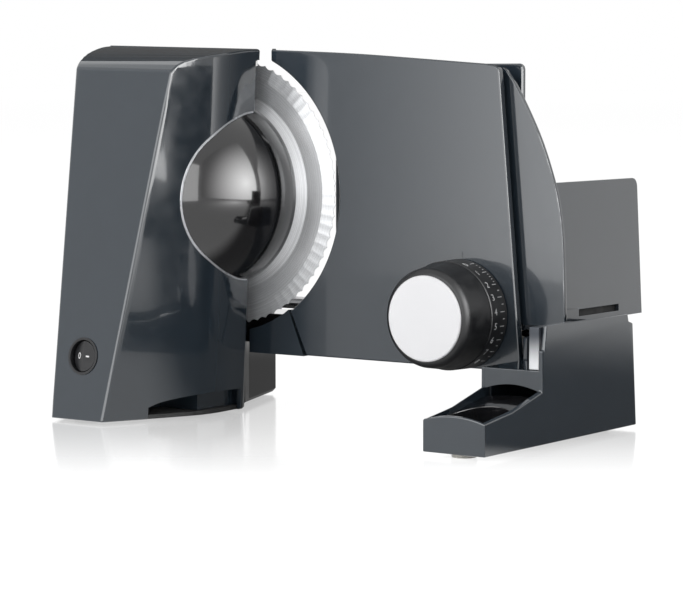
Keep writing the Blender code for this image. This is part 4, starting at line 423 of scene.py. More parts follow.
def rod(name: str, radius: float, start: float, end: float, axis: Axis, centre: Place,
        sides: int = 48) -> bpy.types.Object:
    """A round bar along an axis.

    Args:
        name: Name of the new piece.
        radius: Radius of the bar.
        start: Level of its first face.
        end: Level of its last face.
        axis: Direction of the bar.
        centre: A point on its axis, read across the axis only.
        sides: Steps round it.

    Returns:
        A closed solid.
    """
    return turned(name, [(0.0, start), (radius, start), (radius, end), (0.0, end)], axis, centre, sides)


def curve_through(points: list[tuple[float, ...]], steps: int) -> list[tuple[float, ...]]:
    """A smooth line through points.

    Args:
        points: The points that the line passes.
        steps: Steps between two points.

    Returns:
        The line's points.
    """
    path = [Vector(point) for point in points]
    ends = [2 * path[0] - path[1]] + path + [2 * path[-1] - path[-2]]
    made: list[tuple[float, ...]] = []
    for before, here, there, after in zip(ends, ends[1:], ends[2:], ends[3:]):
        for step in range(steps):
            part = step / steps
            square = part * part
            cube = square * part
            made.append(tuple(0.5 * (2 * here + (there - before) * part
                                     + (2 * before - 5 * here + 4 * there - after) * square
                                     + (3 * here - before - 3 * there + after) * cube)))
    return made + [tuple(path[-1])]


def inset(outline: list[Flat], distance: float) -> list[Flat]:
    """Move each side of an anticlockwise outline inwards.

    Args:
        outline: The outline's points.
        distance: How far each side moves.

    Returns:
        The smaller outline.
    """
    made = []
    for here, corner in enumerate(outline):
        point = Vector(corner)
        first = (point - Vector(outline[here - 1])).normalized()
        second = (Vector(outline[(here + 1) % len(outline)]) - point).normalized()
        lean = Vector((-first.y, first.x)) + Vector((-second.y, second.x))
        made.append(tuple(point + lean * (distance * 2 / lean.length_squared)))
    return made


def arc(centre: Flat, radius: float, start: float, end: float, steps: int) -> list[Flat]:
    """Points along an arc.

    Args:
        centre: Centre of the arc.
        radius: Its radius.
        start: First angle in radians.
        end: Last angle in radians.
        steps: Steps along it.

    Returns:
        The arc's points.
    """
    angles = [start + (end - start) * step / steps for step in range(steps + 1)]
    return [(centre[0] + radius * math.cos(angle), centre[1] + radius * math.sin(angle)) for angle in angles]


def round_corner(before: Flat, corner: Flat, after: Flat, radius: float, steps: int = 8) -> list[Flat]:
    """Round one corner of an outline.

    Args:
        before: The point before the corner.
        corner: The corner.
        after: The point after it.
        radius: Radius of the rounding.
        steps: Steps across it.

    Returns:
        Points that take the corner's place.
    """
    point = Vector(corner)
    first = (Vector(before) - point).normalized()
    second = (Vector(after) - point).normalized()
    half = first.angle(second) / 2
    centre = point + (first + second).normalized() * (radius / math.sin(half))
    start = point + first * (radius / math.tan(half)) - centre
    end = point + second * (radius / math.tan(half)) - centre
    sweep = start.angle_signed(end)
    return [tuple(centre + Matrix.Rotation(-sweep * step / steps, 2) @ start) for step in range(steps + 1)]


def copy_node(node: str, name: str) -> bpy.types.Object:
    """Copy a CAD node's mesh into a new piece, in millimetres, with its flat faces whole.

    Args:
        node: Name of the CAD node.
        name: Name of the new piece.

    Returns:
        The new piece.
    """
    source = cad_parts[node]
    piece = bpy.data.objects.new(name, source.data.copy())
    bpy.context.scene.collection.objects.link(piece)
    piece.data.materials.clear()
    to_bench = Matrix.Translation((CENTRE_X, CENTRE_Y, 0.0)) @ Matrix.Scale(1 / MM, 4)
    piece.data.transform(to_bench)
    pick(piece)
    bpy.ops.object.mode_set(mode="EDIT")
    bpy.ops.mesh.customdata_custom_splitnormals_clear()
    bpy.ops.mesh.select_all(action="SELECT")
    bpy.ops.mesh.remove_doubles(threshold=0.001)
    bpy.ops.mesh.dissolve_limited(angle_limit=math.radians(0.5))
    close_edit()
    return piece


def printed(name: str, text: str, size: float, steps: int) -> bpy.types.Object:
    """Make a centred sign in X and Y, one unit thick.

    Args:
        name: Name of the new piece.
        text: What it says.
        size: Height of its line.
        steps: Steps along each curve.

    Returns:
        The sign as a mesh.
    """
    bpy.ops.object.select_all(action="DESELECT")
    bpy.ops.object.text_add()
    piece = bpy.context.active_object
    piece.name = name
    piece.data.body = text
    piece.data.size = size
    piece.data.align_x = "CENTER"
    piece.data.align_y = "CENTER"
    piece.data.extrude = 0.5
    piece.data.resolution_u = steps
    bpy.ops.object.convert(target="MESH")
    return bpy.context.active_object


def gather(name: str, parts: list[bpy.types.Object]) -> bpy.types.Object:
    """Put several shapes into one object.

    Args:
        name: Name of the joined piece.
        parts: The shapes.

    Returns:
        The joined piece.
    """
    bpy.ops.object.select_all(action="DESELECT")
    for part in parts:
        part.select_set(True)
    bpy.context.view_layer.objects.active = parts[0]
    bpy.ops.object.join()
    parts[0].name = name
    return parts[0]


def settle(piece: bpy.types.Object, body: str, finish: "Finish", nodes: tuple[str, ...] = ()) -> bpy.types.Object:
    """Bring a piece to the frame's place and scale, dress it, and tie it to its body.

    Args:
        piece: The finished shape in millimetres.
        body: Name of the CAD body that it moves with.
        finish: What it is made of.
        nodes: CAD nodes that it stands for.

    Returns:
        The same piece.
    """
    piece.data.transform(Matrix.Scale(MM, 4) @ Matrix.Translation((-CENTRE_X, -CENTRE_Y, 0.0)))
    piece.data.materials.clear()
    piece.data.materials.append(finish.material())
    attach(piece, body)
    if nodes:
        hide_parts(*nodes)
    LOG.info("%s rides on %s", piece.name, body)
    return piece


# Finishes. Their scales are in waves to the metre, and their depths in metres.


COAT_ROUGHNESS = 0.04
DRIFT_SCALE = 28.0
GLOSS_SCALE = 120.0
NOISE_SPAN = (0.3, 0.7)
MOULDED_DEPTH = 0.00002
GROUND_DEPTH = 0.00003


class Shader:
    """A material's node tree, with short ways to add and join nodes."""

    def __init__(self, name: str) -> None:
        """Make an empty Principled material."""
        self.made = bpy.data.materials.new(name)
        self.made.use_nodes = True
        self.tree = self.made.node_tree
        self.base = self.tree.nodes["Principled BSDF"]
        self.place = self.add("ShaderNodeTexCoord").outputs["Object"]

    def add(self, kind: str, **values: object) -> bpy.types.Node:
        """Add a node and set what is named.

        Args:
            kind: The node's type.
            values: Properties, or inputs whose spaces are written as underscores.

        Returns:
            The new node.
        """
        node = self.tree.nodes.new(kind)
        for key, value in values.items():
            if hasattr(node, key):
                setattr(node, key, value)
            else:
                node.inputs[key.replace("_", " ")].default_value = value
        return node

    def join(self, output: bpy.types.NodeSocket, target: bpy.types.NodeSocket) -> None:
        """Join an output to an input."""
        self.tree.links.new(output, target)

    def noise(self, scale: float, detail: float = 3.0) -> bpy.types.NodeSocket:
        """Noise over the piece.

        Args:
            scale: Waves to the metre.
            detail: Octaves.

        Returns:
            The noise's value.
        """
        node = self.add("ShaderNodeTexNoise", Scale=scale, Detail=detail)
        self.join(self.place, node.inputs["Vector"])
        return node.outputs["Fac"]

    def spread(self, value: bpy.types.NodeSocket, low: float, high: float) -> bpy.types.NodeSocket:
        """Spread a value from its usual middle to a range.

        Args:
            value: The value to spread.
            low: Result at the low end.
            high: Result at the high end.

        Returns:
            The spread value.
        """
        return self.ramp(value, NOISE_SPAN, (low, high))

    def ramp(self, value: bpy.types.NodeSocket, start: Flat, end: Flat, ease: str = "LINEAR") -> bpy.types.NodeSocket:
        """Map one range of values onto another.

        Args:
            value: The value to map.
            start: The range that it comes in.
            end: The range that it leaves in.
            ease: How it goes from one end to the other.

        Returns:
            The mapped value.
        """
        node = self.add("ShaderNodeMapRange", interpolation_type=ease, From_Min=start[0], From_Max=start[1],
                        To_Min=end[0], To_Max=end[1])
        self.join(value, node.inputs["Value"])
        return node.outputs["Result"]

    def product(self, first: bpy.types.NodeSocket, second: bpy.types.NodeSocket) -> bpy.types.NodeSocket:
        """Multiply two values.

        Args:
            first: One value.
            second: The other.

        Returns:
            Their product.
        """
        node = self.add("ShaderNodeMath", operation="MULTIPLY")
        self.join(first, node.inputs[0])
        self.join(second, node.inputs[1])
        return node.outputs["Value"]

    def glow(self, centre: Place, reach: float, curve: float, levels: Flat) -> bpy.types.NodeSocket:
        """Let a brightness fade round a spot.

        Args:
            centre: The spot.
            reach: Distance at which the glow has faded.
            curve: Power that shapes the fading.
            levels: Brightness at the spot and far from it.

        Returns:
            The brightness.
        """
        away = self.add("ShaderNodeVectorMath", operation="DISTANCE")
        away.inputs[1].default_value = centre
        self.join(self.place, away.inputs[0])
        bent = self.add("ShaderNodeMath", operation="POWER")
        bent.inputs[1].default_value = curve
        self.join(self.ramp(away.outputs["Value"], (0.0, reach), (1.0, 0.0)), bent.inputs[0])
        return self.ramp(bent.outputs["Value"], (0.0, 1.0), (levels[1], levels[0]))

    def blend(self, share: bpy.types.NodeSocket, first: bpy.types.NodeSocket,
              second: bpy.types.NodeSocket) -> bpy.types.NodeSocket:
        """Mix two shaders.

        Args:
            share: The second one's share.
            first: One shader.
            second: The other.

        Returns:
            The mixed shader.
        """
        node = self.add("ShaderNodeMixShader")
        self.join(share, node.inputs["Fac"])
        self.join(first, node.inputs[1])
        self.join(second, node.inputs[2])
        return node.outputs["Shader"]

    def show(self, shader: bpy.types.NodeSocket) -> None:
        """Let a shader be the material's surface."""
        self.join(shader, self.tree.nodes["Material Output"].inputs["Surface"])

    def tint(self, value: bpy.types.NodeSocket, dark: Colour, light: Colour) -> bpy.types.NodeSocket:
        """Mix two colours by a value.

        Args:
            value: The mixing value.
            dark: Colour at its low end.
            light: Colour at its high end.

        Returns:
            The mixed colour.
        """
        node = self.add("ShaderNodeMix", data_type="RGBA")
        self.join(value, node.inputs["Factor"])
        node.inputs[6].default_value = (*dark, 1.0)
        node.inputs[7].default_value = (*light, 1.0)
        return node.outputs[2]

    def bump(self, height: bpy.types.NodeSocket, strength: float, depth: float) -> None:
        """Raise the surface by a height.

        Args:
            height: Height of the relief.
            strength: How strongly it shows.
            depth: Its depth in metres.
        """
        node = self.add("ShaderNodeBump", Strength=strength, Distance=depth)
        self.join(height, node.inputs["Height"])
        self.join(node.outputs["Normal"], self.base.inputs["Normal"])


@dataclass(frozen=True)
class Finish:
    """A plain moulded surface: colour that drifts a little, uneven gloss and fine relief."""

    name: str
    slot: str
    colour: Colour
    roughness: float
    drift: float = 0.06
    gloss_drift: float = 0.25
    coat: float = 0.0
    relief: float = 0.05
    relief_scale: float = 900.0
    metallic: float = 0.0

    def material(self) -> bpy.types.Material:
        """Return the material, made once."""
        ready = bpy.data.materials.get(self.name)
        return ready or self.dress(Shader(self.name))

    def dress(self, shader: Shader) -> bpy.types.Material:
        """Fill the node tree.

        Args:
            shader: The empty material.

        Returns:
            The finished material.
        """
        shader.base.inputs["Coat Weight"].default_value = self.coat
        shader.base.inputs["Coat Roughness"].default_value = COAT_ROUGHNESS
        values = (shader.noise(DRIFT_SCALE), shader.noise(GLOSS_SCALE), shader.noise(self.relief_scale))
        return self.drive(shader, values, MOULDED_DEPTH)

    def drive(self, shader: Shader, values: tuple[bpy.types.NodeSocket, ...], depth: float) -> bpy.types.Material:
        """Let three values drive colour, gloss and relief.

        Args:
            shader: The material's nodes.
            values: What drives the colour, the gloss and the relief.
            depth: Depth of the relief in metres.

        Returns:
            The finished material.
        """
        tone, gloss, height = values
        shader.base.inputs["Metallic"].default_value = self.metallic
        dark = tuple(value * (1 - self.drift) for value in self.colour)
        light = tuple(value * (1 + self.drift) for value in self.colour)
        shader.join(shader.tint(tone, dark, light), shader.base.inputs["Base Color"])
        low = self.roughness * (1 - self.gloss_drift)
        high = self.roughness * (1 + self.gloss_drift)
        shader.join(shader.spread(gloss, low, high), shader.base.inputs["Roughness"])
        shader.bump(height, self.relief, depth)
        return shader.made


@dataclass(frozen=True)
class TurnedSteel(Finish):
    """Steel with fine rings round an axis along Y."""

    centre: Place = (0.0, 0.0, 0.0)
    rings: float = 5200.0

    def dress(self, shader: Shader) -> bpy.types.Material:
        """Fill the node tree.

        Args:
            shader: The empty material.

        Returns:
            The finished material.
        """
        shift = shader.add("ShaderNodeMapping")
        shift.inputs["Location"].default_value = tuple(-value for value in self.centre)
        shader.join(shader.place, shift.inputs["Vector"])
        flat = shader.add("ShaderNodeVectorMath", operation="MULTIPLY")
        flat.inputs[1].default_value = (1.0, 0.0, 1.0)
        shader.join(shift.outputs["Vector"], flat.inputs[0])
        far = shader.add("ShaderNodeVectorMath", operation="LENGTH")
        shader.join(flat.outputs["Vector"], far.inputs[0])
        lines = shader.add("ShaderNodeTexNoise", noise_dimensions="1D", Scale=self.rings, Detail=4.0)
        shader.join(far.outputs["Value"], lines.inputs["W"])
        return self.drive(shader, (lines.outputs["Fac"],) * 3, GROUND_DEPTH)


@dataclass(frozen=True)
class DrawnSteel(Finish):
    """Steel with fine lines along one axis."""

    stretch: Place = (40.0, 3000.0, 3000.0)

    def dress(self, shader: Shader) -> bpy.types.Material:
        """Fill the node tree.

        Args:
            shader: The empty material.

        Returns:
            The finished material.
        """
        shift = shader.add("ShaderNodeMapping")
        shift.inputs["Scale"].default_value = self.stretch
        shader.join(shader.place, shift.inputs["Vector"])
        lines = shader.add("ShaderNodeTexNoise", Scale=1.0, Detail=4.0)
        shader.join(shift.outputs["Vector"], lines.inputs["Vector"])
        return self.drive(shader, (lines.outputs["Fac"],) * 3, GROUND_DEPTH)


@dataclass(frozen=True)
class FadedSteel(Finish):
    """Polished steel with a painted reflection: its colour is painted dark above and bright below."""

    # Heights and dark colour of the painted reflection.
    top: float = 0.0
    foot: float = 0.0
    dark: Colour = (0.1, 0.1, 0.1)

    def dress(self, shader: Shader) -> bpy.types.Material:
        """Add the painted reflection, a colour change along the height, to the plain finish.

        Args:
            shader: The material's nodes.

        Returns:
            The finished material.
        """
        made = super().dress(shader)
        parts = shader.add("ShaderNodeSeparateXYZ")
        shader.join(shader.place, parts.inputs["Vector"])
        # Painted reflection: the colour runs from the base colour at the foot to the dark colour at the top.
        height = shader.ramp(parts.outputs["Z"], (self.foot, self.top), (0.0, 1.0), "SMOOTHSTEP")
        shader.join(shader.tint(height, self.colour, self.dark), shader.base.inputs["Base Color"])
        return made


SLATE = Finish("slate_gloss_plastic", "slate_gloss", (0.024, 0.034, 0.045), 0.14, coat=0.8)
BLACK_GLOSS = Finish("black_gloss_plastic", "black_gloss", (0.008, 0.008, 0.009), 0.12, coat=0.8, relief=0.02)
BLACK_SATIN = Finish("black_satin_plastic", "black_matte", (0.012, 0.0125, 0.014), 0.38, relief=0.25,
                     relief_scale=2600.0)
BLACK_MATT = Finish("black_matt_plastic", "black_matte", (0.010, 0.0105, 0.011), 0.62, relief=0.3,
                    relief_scale=2200.0)
RUBBER = Finish("black_rubber", "rubber", (0.020, 0.020, 0.021), 0.8, relief=0.4, relief_scale=1500.0)
PALE_NYLON = Finish("pale_nylon", "nylon", (0.70, 0.68, 0.63), 0.45, relief=0.15)
PRINT_WHITE = Finish("white_print", "nylon", (0.80, 0.80, 0.80), 0.5)
BLADE_STEEL = TurnedSteel("ground_blade_steel", "blade_steel", (0.66, 0.67, 0.685), 0.28, drift=0.04,
                          relief=0.12, metallic=0.4,
                          centre=(-CENTRE_X * MM, -CENTRE_Y * MM, BLADE_HEIGHT * MM))
CAP_SILVER = TurnedSteel("satin_cap_silver", "silver_cap", (0.76, 0.76, 0.775), 0.42, drift=0.02, relief=0.06,
                         metallic=0.1, rings=9000.0, centre=(0.0932, -CENTRE_Y * MM, 0.0691))
# The dome's rim: a real raised ring whose pale colour paints the highlight along its edge.
RIM_PAINTED_HIGHLIGHT = Finish("rim_painted_highlight", "silver_cap", (0.42, 0.43, 0.45), 0.3, drift=0.05, relief=0.08, metallic=0.5)
# Post steel with a painted reflection: its colour is bright at its foot and dark at its top.
POST_STEEL_PAINTED_REFLECTION = FadedSteel("post_steel_painted_reflection", "steel", (0.80, 0.81, 0.83), 0.2, relief=0.05, metallic=0.3, top=0.066,
                        foot=0.045, dark=(0.045, 0.052, 0.065))
ROD_STEEL = DrawnSteel("drawn_rod_steel", "steel", (0.62, 0.62, 0.63), 0.24, relief=0.1, metallic=1.0)
SHEET_STEEL = DrawnSteel("rolled_sheet_steel", "steel", (0.50, 0.50, 0.51), 0.34, relief=0.15, metallic=1.0,
                         stretch=(900.0, 900.0, 60.0))
CORE_IRON = DrawnSteel("stamped_core_iron", "iron", (0.20, 0.20, 0.21), 0.5, relief=0.3, metallic=1.0,
                       stretch=(40.0, 40.0, 2200.0))
SINTERED_BRONZE = Finish("sintered_bronze", "bronze", (0.50, 0.34, 0.16), 0.42, drift=0.12, relief=0.3,
                         relief_scale=3000.0, metallic=1.0)


# Tower, with the switch's marks


def lay_on(piece: bpy.types.Object, node: str, place: Matrix, proud: float) -> bpy.types.Object:
    """Lay a flat mark on a CAD node's face.

    Args:
        piece: A mark drawn in X and Z, with its face towards -Y.
        node: The CAD node that it lies on.
        place: Carries the mark's plane to a place in front of the face.
        proud: How far the mark stands out.

    Returns:
        The mark on the face.
    """
    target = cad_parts[node]
    to_frame = Matrix.Scale(MM, 4) @ Matrix.Translation((-CENTRE_X, -CENTRE_Y, 0.0))
    inward = (place.to_3x3() @ Vector((0.0, 1.0, 0.0))).normalized()
    for vertex in piece.data.vertices:
        x, y, z = vertex.co
        start = place @ Vector((x, -12.0, z))
        found, hit, _normal, _face = target.ray_cast(to_frame @ start, inward)
        if found:
            lift = proud if y < 0.0 else -proud
            vertex.co = to_frame.inverted() @ hit - inward * lift
    return piece


@dataclass
class Tower:
    """The leaning motor tower: front shell, closing plate and dome."""

    foot_plan: tuple[Flat, ...] = ((-3.0, -121.0), (10.0, -93.0), (20.0, -70.0), (25.0, -56.0), (26.5, -40.0),
                                   (25.5, -26.0), (24.8, -13.0))
    head_plan: tuple[Flat, ...] = ((27.6, -81.8), (31.0, -72.5), (34.5, -62.0), (37.2, -52.0), (38.5, -38.0),
                                   (38.0, -25.0), (37.3, -13.0))
    foot_left: tuple[Flat, ...] = ((-92.0, -13.0), (-44.0, -121.0))
    head_left: tuple[Flat, ...] = ((-87.0, -13.0), (-53.3, -81.8))
    bottom: float = 1.5
    loft_top: float = 240.0
    wall: float = 2.8
    rear_y: float = -18.0
    lip_bottom: float = 221.0
    arch_right: tuple[Flat, ...] = ((-128.0, 160.0), (-92.5, 205.0), (-85.0, 215.0), (-77.5, 220.2),
                                    (-61.5, 223.6), (-42.0, 225.8), (-24.5, 227.3), (4.0, 228.0))
    arch_left: tuple[Flat, ...] = ((-128.0, 166.0), (-92.5, 209.0), (-85.0, 217.0), (-77.5, 221.4),
                                   (-64.0, 225.8), (-43.0, 229.0), (-24.5, 230.3), (4.0, 231.0))
    arch_right_x: float = 40.0
    arch_left_x: float = -90.0
    edge: float = 1.5
    short_edge: float = 0.6
    levels: int = 10
    dome_radius: float = 61.0
    dome_wall: float = 2.6
    dome_centre: Place = (0.0, -20.0, 138.0)
    dome_rim_y: float = -7.5
    dome_inner_x: float = 4.0
    bay_arch: tuple[Flat, ...] = ((-93.0, 9.0), (-85.0, 11.8), (-71.7, 13.9), (-58.9, 15.1), (-48.5, 15.6),
                                  (-34.0, 15.4), (-20.5, 14.8))
    switch_x: float = -23.0
    switch_z: float = 40.5
    switch_hole: float = 10.9
    switch_depth: float = 8.0
    bay_inner_x: float = -5.0
    rim_proud: float = 0.25
    rim_depth: float = 0.8
    rim_width: float = 0.8
    mark_size: float = 5.4
    mark_steps: int = 12
    mark_proud: float = 0.1
    zero_x: float = -3.9
    dash_x: float = 3.4
    dash_half: Flat = (1.3, 0.45)

    def section(self, distance: float, level: float, steps: int) -> list[Vector]:
        """The tower's plan at one height.

        Args:
            distance: How far the plan is moved inwards.
            level: Height of the section.
            steps: Steps between two measured points of the curved side.

        Returns:
            The plan's points.
        """
        part = (level - self.bottom) / (self.loft_top - self.bottom)
        foot = curve_through(list(self.foot_plan), steps) + list(self.foot_left)
        head = curve_through(list(self.head_plan), steps) + list(self.head_left)
        plan = [(low[0] + (high[0] - low[0]) * part, low[1] + (high[1] - low[1]) * part)
                for low, high in zip(foot, head)]
        if distance:
            plan = inset(plan, distance)
        return [Vector((x, y, level)) for x, y in plan]

    def arch(self, drop: float, steps: int) -> bpy.types.Object:
        """The space under the arched top, lowered by a drop.

        Args:
            drop: How far the arch is lowered.
            steps: Steps between two measured points.

        Returns:
            A solid whose top is the arch.
        """
        slope = (self.arch_right[-1][1] - self.arch_left[-1][1]) / (self.arch_right_x - self.arch_left_x)
        sections = []
        for x, line in ((self.arch_left_x, self.arch_left), (self.arch_right_x, self.arch_right)):
            reach = x + math.copysign(20.0, x)
            lift = slope * (reach - x) - drop
            smooth = curve_through(list(line), steps)
            ring = [Vector((reach, smooth[0][0], -10.0))]
            ring += [Vector((reach, y, z + lift)) for y, z in smooth]
            ring += [Vector((reach, smooth[-1][0], -10.0))]
            sections.append(ring)
        return loft("arch_space", sections)

    def dome_line(self, radius: float, steps: int) -> list[Flat]:
        """Half-section of a ball from the rim to the pole on the camera's side.

        Args:
            radius: Radius of the ball.
            steps: Steps along the line.

        Returns:
            Points of (radius, distance along Y from the dome's centre).
        """
        start = math.acos((self.dome_rim_y - self.dome_centre[1]) / radius)
        angles = [start + (math.pi - start) * step / steps for step in range(steps)]
        return [(radius * math.sin(angle), radius * math.cos(angle)) for angle in angles] + [(0.0, -radius)]

    def ball(self, radius: float) -> bpy.types.Object:
        """A solid ball cut flat behind the dome's rim.

        Args:
            radius: Radius of the ball.

        Returns:
            The ball, for the hole in the wall and the ring round it.
        """
        line = self.dome_line(radius, 48)
        reach = self.dome_rim_y - self.dome_centre[1] + 2.0
        profile = [(0.0, reach), (line[0][0], reach)] + line
        return turned("dome_ball", profile, Axis.Y, self.dome_centre, 144)

    def bay(self) -> list[Flat]:
        """The cord bay's outline in Y and Z."""
        arch = curve_through(list(self.bay_arch), 6)
        return [(arch[0][0], -2.0)] + arch + [(arch[-1][0], -2.0)]

    def facet_y(self, level: float) -> float:
        """Depth of the leaning facet at a height."""
        low, high = self.foot_plan[0][1], self.head_plan[0][1]
        return low + (level - self.bottom) / (self.loft_top - self.bottom) * (high - low)

    def shell(self) -> bpy.types.Object:
        """Model the front shell.

        Returns:
            The shell with its arch, bay and holes.
        """
        rise = (self.loft_top - self.bottom) / self.levels
        levels = [self.bottom + rise * step for step in range(self.levels + 1)]
        piece = split(loft("tower_shell", [self.section(0.0, level, 6) for level in levels]))
        fuse(piece, self.arch(0.0, 2), Way.KEEP)
        mend(piece, self.short_edge)
        soften(piece, self.edge, 3, 32.0)
        hollow = split(loft("tower_hollow", [self.section(self.wall, level, 2) for level in (-2.0, self.loft_top)]))
        fuse(hollow, self.arch(self.wall, 3), Way.KEEP)
        hole = rod("switch_hole", self.switch_hole, -self.switch_depth, self.switch_depth, Axis.Y,
                   (0.0, 0.0, 0.0), 64)
        hole.data.transform(self.facet_turn())
        behind = block("rear", (-FAR, self.rear_y, -FAR), (FAR, FAR, self.lip_bottom))
        opening = plate("bay_hole", self.bay(), Axis.X, self.bay_inner_x, FAR)
        for tool in (split(hollow), behind, self.ball(self.dome_radius + SEAM), opening, hole):
            fuse(split(piece), tool, Way.CUT)
        return shade(close_gaps(piece), 25.0)

    def facet_turn(self) -> Matrix:
        """Carry a piece at the origin to the switch's place on the leaning facet."""
        lean = math.atan2(self.head_plan[0][1] - self.foot_plan[0][1], self.loft_top - self.bottom)
        place = Matrix.Translation((self.switch_x, self.facet_y(self.switch_z), self.switch_z))
        return place @ Matrix.Rotation(-lean, 4, "X")

    def dome(self) -> bpy.types.Object:
        """Model the round gloss cover over the gear.

        Returns:
            The dome's outer half, open behind.
        """
        outer = self.dome_line(self.dome_radius, 60)
        inner = self.dome_line(self.dome_radius - self.dome_wall, 40)
        piece = turned("dome_cover", outer[::-1] + inner, Axis.Y, self.dome_centre, 192)
        fuse(piece, block("dome_half", (-FAR, -FAR, -FAR), (self.dome_inner_x, FAR, FAR)), Way.CUT)
        return shade(piece, 35.0)

    def rim(self) -> bpy.types.Object:
        """Model the thin raised ring where the wall meets the dome; its pale colour is a painted highlight of the
        rim's edge.

        Returns:
            A ring that follows the wall round the dome.
        """
        levels = (self.bottom, self.loft_top / 2, self.loft_top)
        piece = split(loft("dome_rim", [self.section(-self.rim_proud, level, 6) for level in levels]))
        inside = split(loft("rim_inside", [self.section(self.rim_depth, level, 6) for level in levels]))
        fuse(piece, inside, Way.CUT)
        fuse(split(piece), self.ball(self.dome_radius + SEAM + self.rim_width), Way.KEEP)
        fuse(split(piece), self.ball(self.dome_radius + SEAM), Way.CUT)
        fuse(split(piece), block("rim_rear", (-FAR, self.rear_y - 1.0, -FAR), (FAR, FAR, FAR)), Way.CUT)
        return shade(piece, 35.0)

    def switch_marks(self) -> bpy.types.Object:
        """Model the white 0 and dash on the switch.

        Returns:
            Both marks as one piece.
        """
        zero = printed("switch_zero", "0", self.mark_size, self.mark_steps)
        upright = Matrix.Rotation(math.pi / 2, 4, "X")
        zero.data.transform(Matrix.Translation((self.zero_x, 0.0, 0.0)) @ upright)
        half_x, half_z = self.dash_half
        dash = block("switch_dash", (self.dash_x - half_x, -0.5, -half_z), (self.dash_x + half_x, 0.5, half_z))
        marks = [lay_on(mark, "switch_rocker", self.facet_turn(), self.mark_proud) for mark in (zero, dash)]
        return gather("switch_marks", marks)

    def build(self) -> None:
        """Build and place the tower's pieces."""
        settle(self.shell(), "housing", SLATE, ("motor_housing",))
        settle(self.rim(), "housing", RIM_PAINTED_HIGHLIGHT)
        settle(self.switch_marks(), "switch", PRINT_WHITE)
        settle(self.dome(), "housing", BLACK_GLOSS, ("gear_dome",))
        back = copy_node("housing_back", "tower_back")
        settle(shade(soften(back, 0.5, 2, 40.0), 30.0), "housing", SLATE, ("housing_back",))


# Blade


@dataclass
class Blade:
    """The scalloped disc."""

    radius: float = 85.0
    scallops: int = 78
    dip: float = 1.3
    grind_radius: float = 76.0
    step_radius: float = 64.0
    dish_radius: float = 58.0
    sheet: float = 1.5
    edge_sheet: float = 0.3
    dish_y: float = -6.3
    bore: float = 9.3
    steps: int = 8

    def rings(self) -> list[tuple[float, float, bool]]:
        """Radius, depth and scalloping of each ring of points, round the section once."""
        back = -self.sheet
        return [
            (self.radius, -self.edge_sheet, True),
            (self.grind_radius, back, False),
            (self.grind_radius - 0.6, back - 0.12, False),
            (self.step_radius + 0.8, back - 0.12, False),
            (self.step_radius, back - 0.25, False),
            (self.dish_radius + 0.7, self.dish_y + 0.6, False),
            (self.dish_radius, self.dish_y, False),
            (self.bore, self.dish_y, False),
            (self.bore, self.dish_y + self.sheet, False),
            (self.dish_radius + 0.7, self.dish_y + self.sheet, False),
            (self.step_radius + 0.7, 0.0, False),
            (self.grind_radius, 0.0, False),
            (self.radius, 0.0, True),
        ]

    def disc(self) -> bpy.types.Object:
        """Model the disc: a turned section whose rim points are then pulled in between the tips.

        Returns:
            The blade.
        """
        sides = self.scallops * self.steps
        rings = self.rings()
        piece = turned("scalloped_blade", [(radius, along) for radius, along, _ in rings], Axis.Y,
                       (0.0, 0.0, BLADE_HEIGHT), sides, ring=True)
        for vertex in piece.data.vertices:
            x, z = vertex.co.x, vertex.co.z - BLADE_HEIGHT
            radius = math.hypot(x, z)
            if radius > self.radius - 0.01:
                share = (math.atan2(z, x) / (2 * math.pi) * self.scallops) % 1.0
                pull = (radius - self.dip * math.sin(math.pi * share)) / radius
                vertex.co.x = x * pull
                vertex.co.z = BLADE_HEIGHT + z * pull
        return shade(piece, 12.0)

    def build(self) -> None:
        """Build and place the blade."""
        settle(self.disc(), "blade_group", BLADE_STEEL, ("blade",))


# Stop plate


@dataclass
class StopPlate:
    """The upright plate that sets the slice's thickness."""

    front_y: float = -5.0
    rear_y: float = 0.0
    foot_left: Flat = (65.4, 36.8)
    foot_right: Flat = (222.7, 36.7)
    head_right: Flat = (206.3, 216.7)
    top_edge: tuple[Flat, ...] = ((196.9, 218.3), (152.8, 221.4), (99.8, 224.9), (45.5, 227.2), (38.3, 227.3))
    notch_radius: float = 91.0
    notch_from: Flat = (38.3, 220.5)
    notch_to: Flat = (53.0, 64.2)
    corner: float = 4.0
    edge: float = 0.9
    stem: Flat = (180.7, 69.1)
    stem_hole: float = 6.3
    mark: Flat = (181.3, 104.8)
    mark_half: Flat = (0.3, 1.7)
    mark_proud: float = 0.2
    mark_sunk: float = 0.4

    def outline(self) -> list[Flat]:
        """Front view of the plate in X and Z."""
        start = math.atan2(self.notch_from[1] - BLADE_HEIGHT, self.notch_from[0])
        end = math.atan2(self.notch_to[1] - BLADE_HEIGHT, self.notch_to[0])
        top = curve_through(list(self.top_edge), 6)
        return ([self.foot_left] + round_corner(self.foot_left, self.foot_right, self.head_right, self.corner)
                + round_corner(self.foot_right, self.head_right, top[0], self.corner) + top
                + arc((0.0, BLADE_HEIGHT), self.notch_radius, start, end, 72))

    def sheet(self) -> bpy.types.Object:
        """Model the plate.

        Returns:
            The plate with the hole for the dial's stem and the index mark.
        """
        piece = plate("stop_plate_sheet", self.outline(), Axis.Y, self.front_y, self.rear_y)
        soften(piece, self.edge, 3, 40.0)
        hole = rod("stem_hole", self.stem_hole, -FAR, FAR, Axis.Y, (self.stem[0], 0.0, self.stem[1]), 48)
        fuse(piece, hole, Way.CUT)
        x, z = self.mark
        half_x, half_z = self.mark_half
        mark = block("index_mark", (x - half_x, self.front_y - self.mark_proud, z - half_z),
                     (x + half_x, self.front_y + self.mark_sunk, z + half_z))
        fuse(piece, mark, Way.JOIN)
        return shade(piece, 35.0)

    def build(self) -> None:
        """Build and place the plate."""
        settle(self.sheet(), "stop_plate_group", SLATE, ("stop_plate",))


# Dial


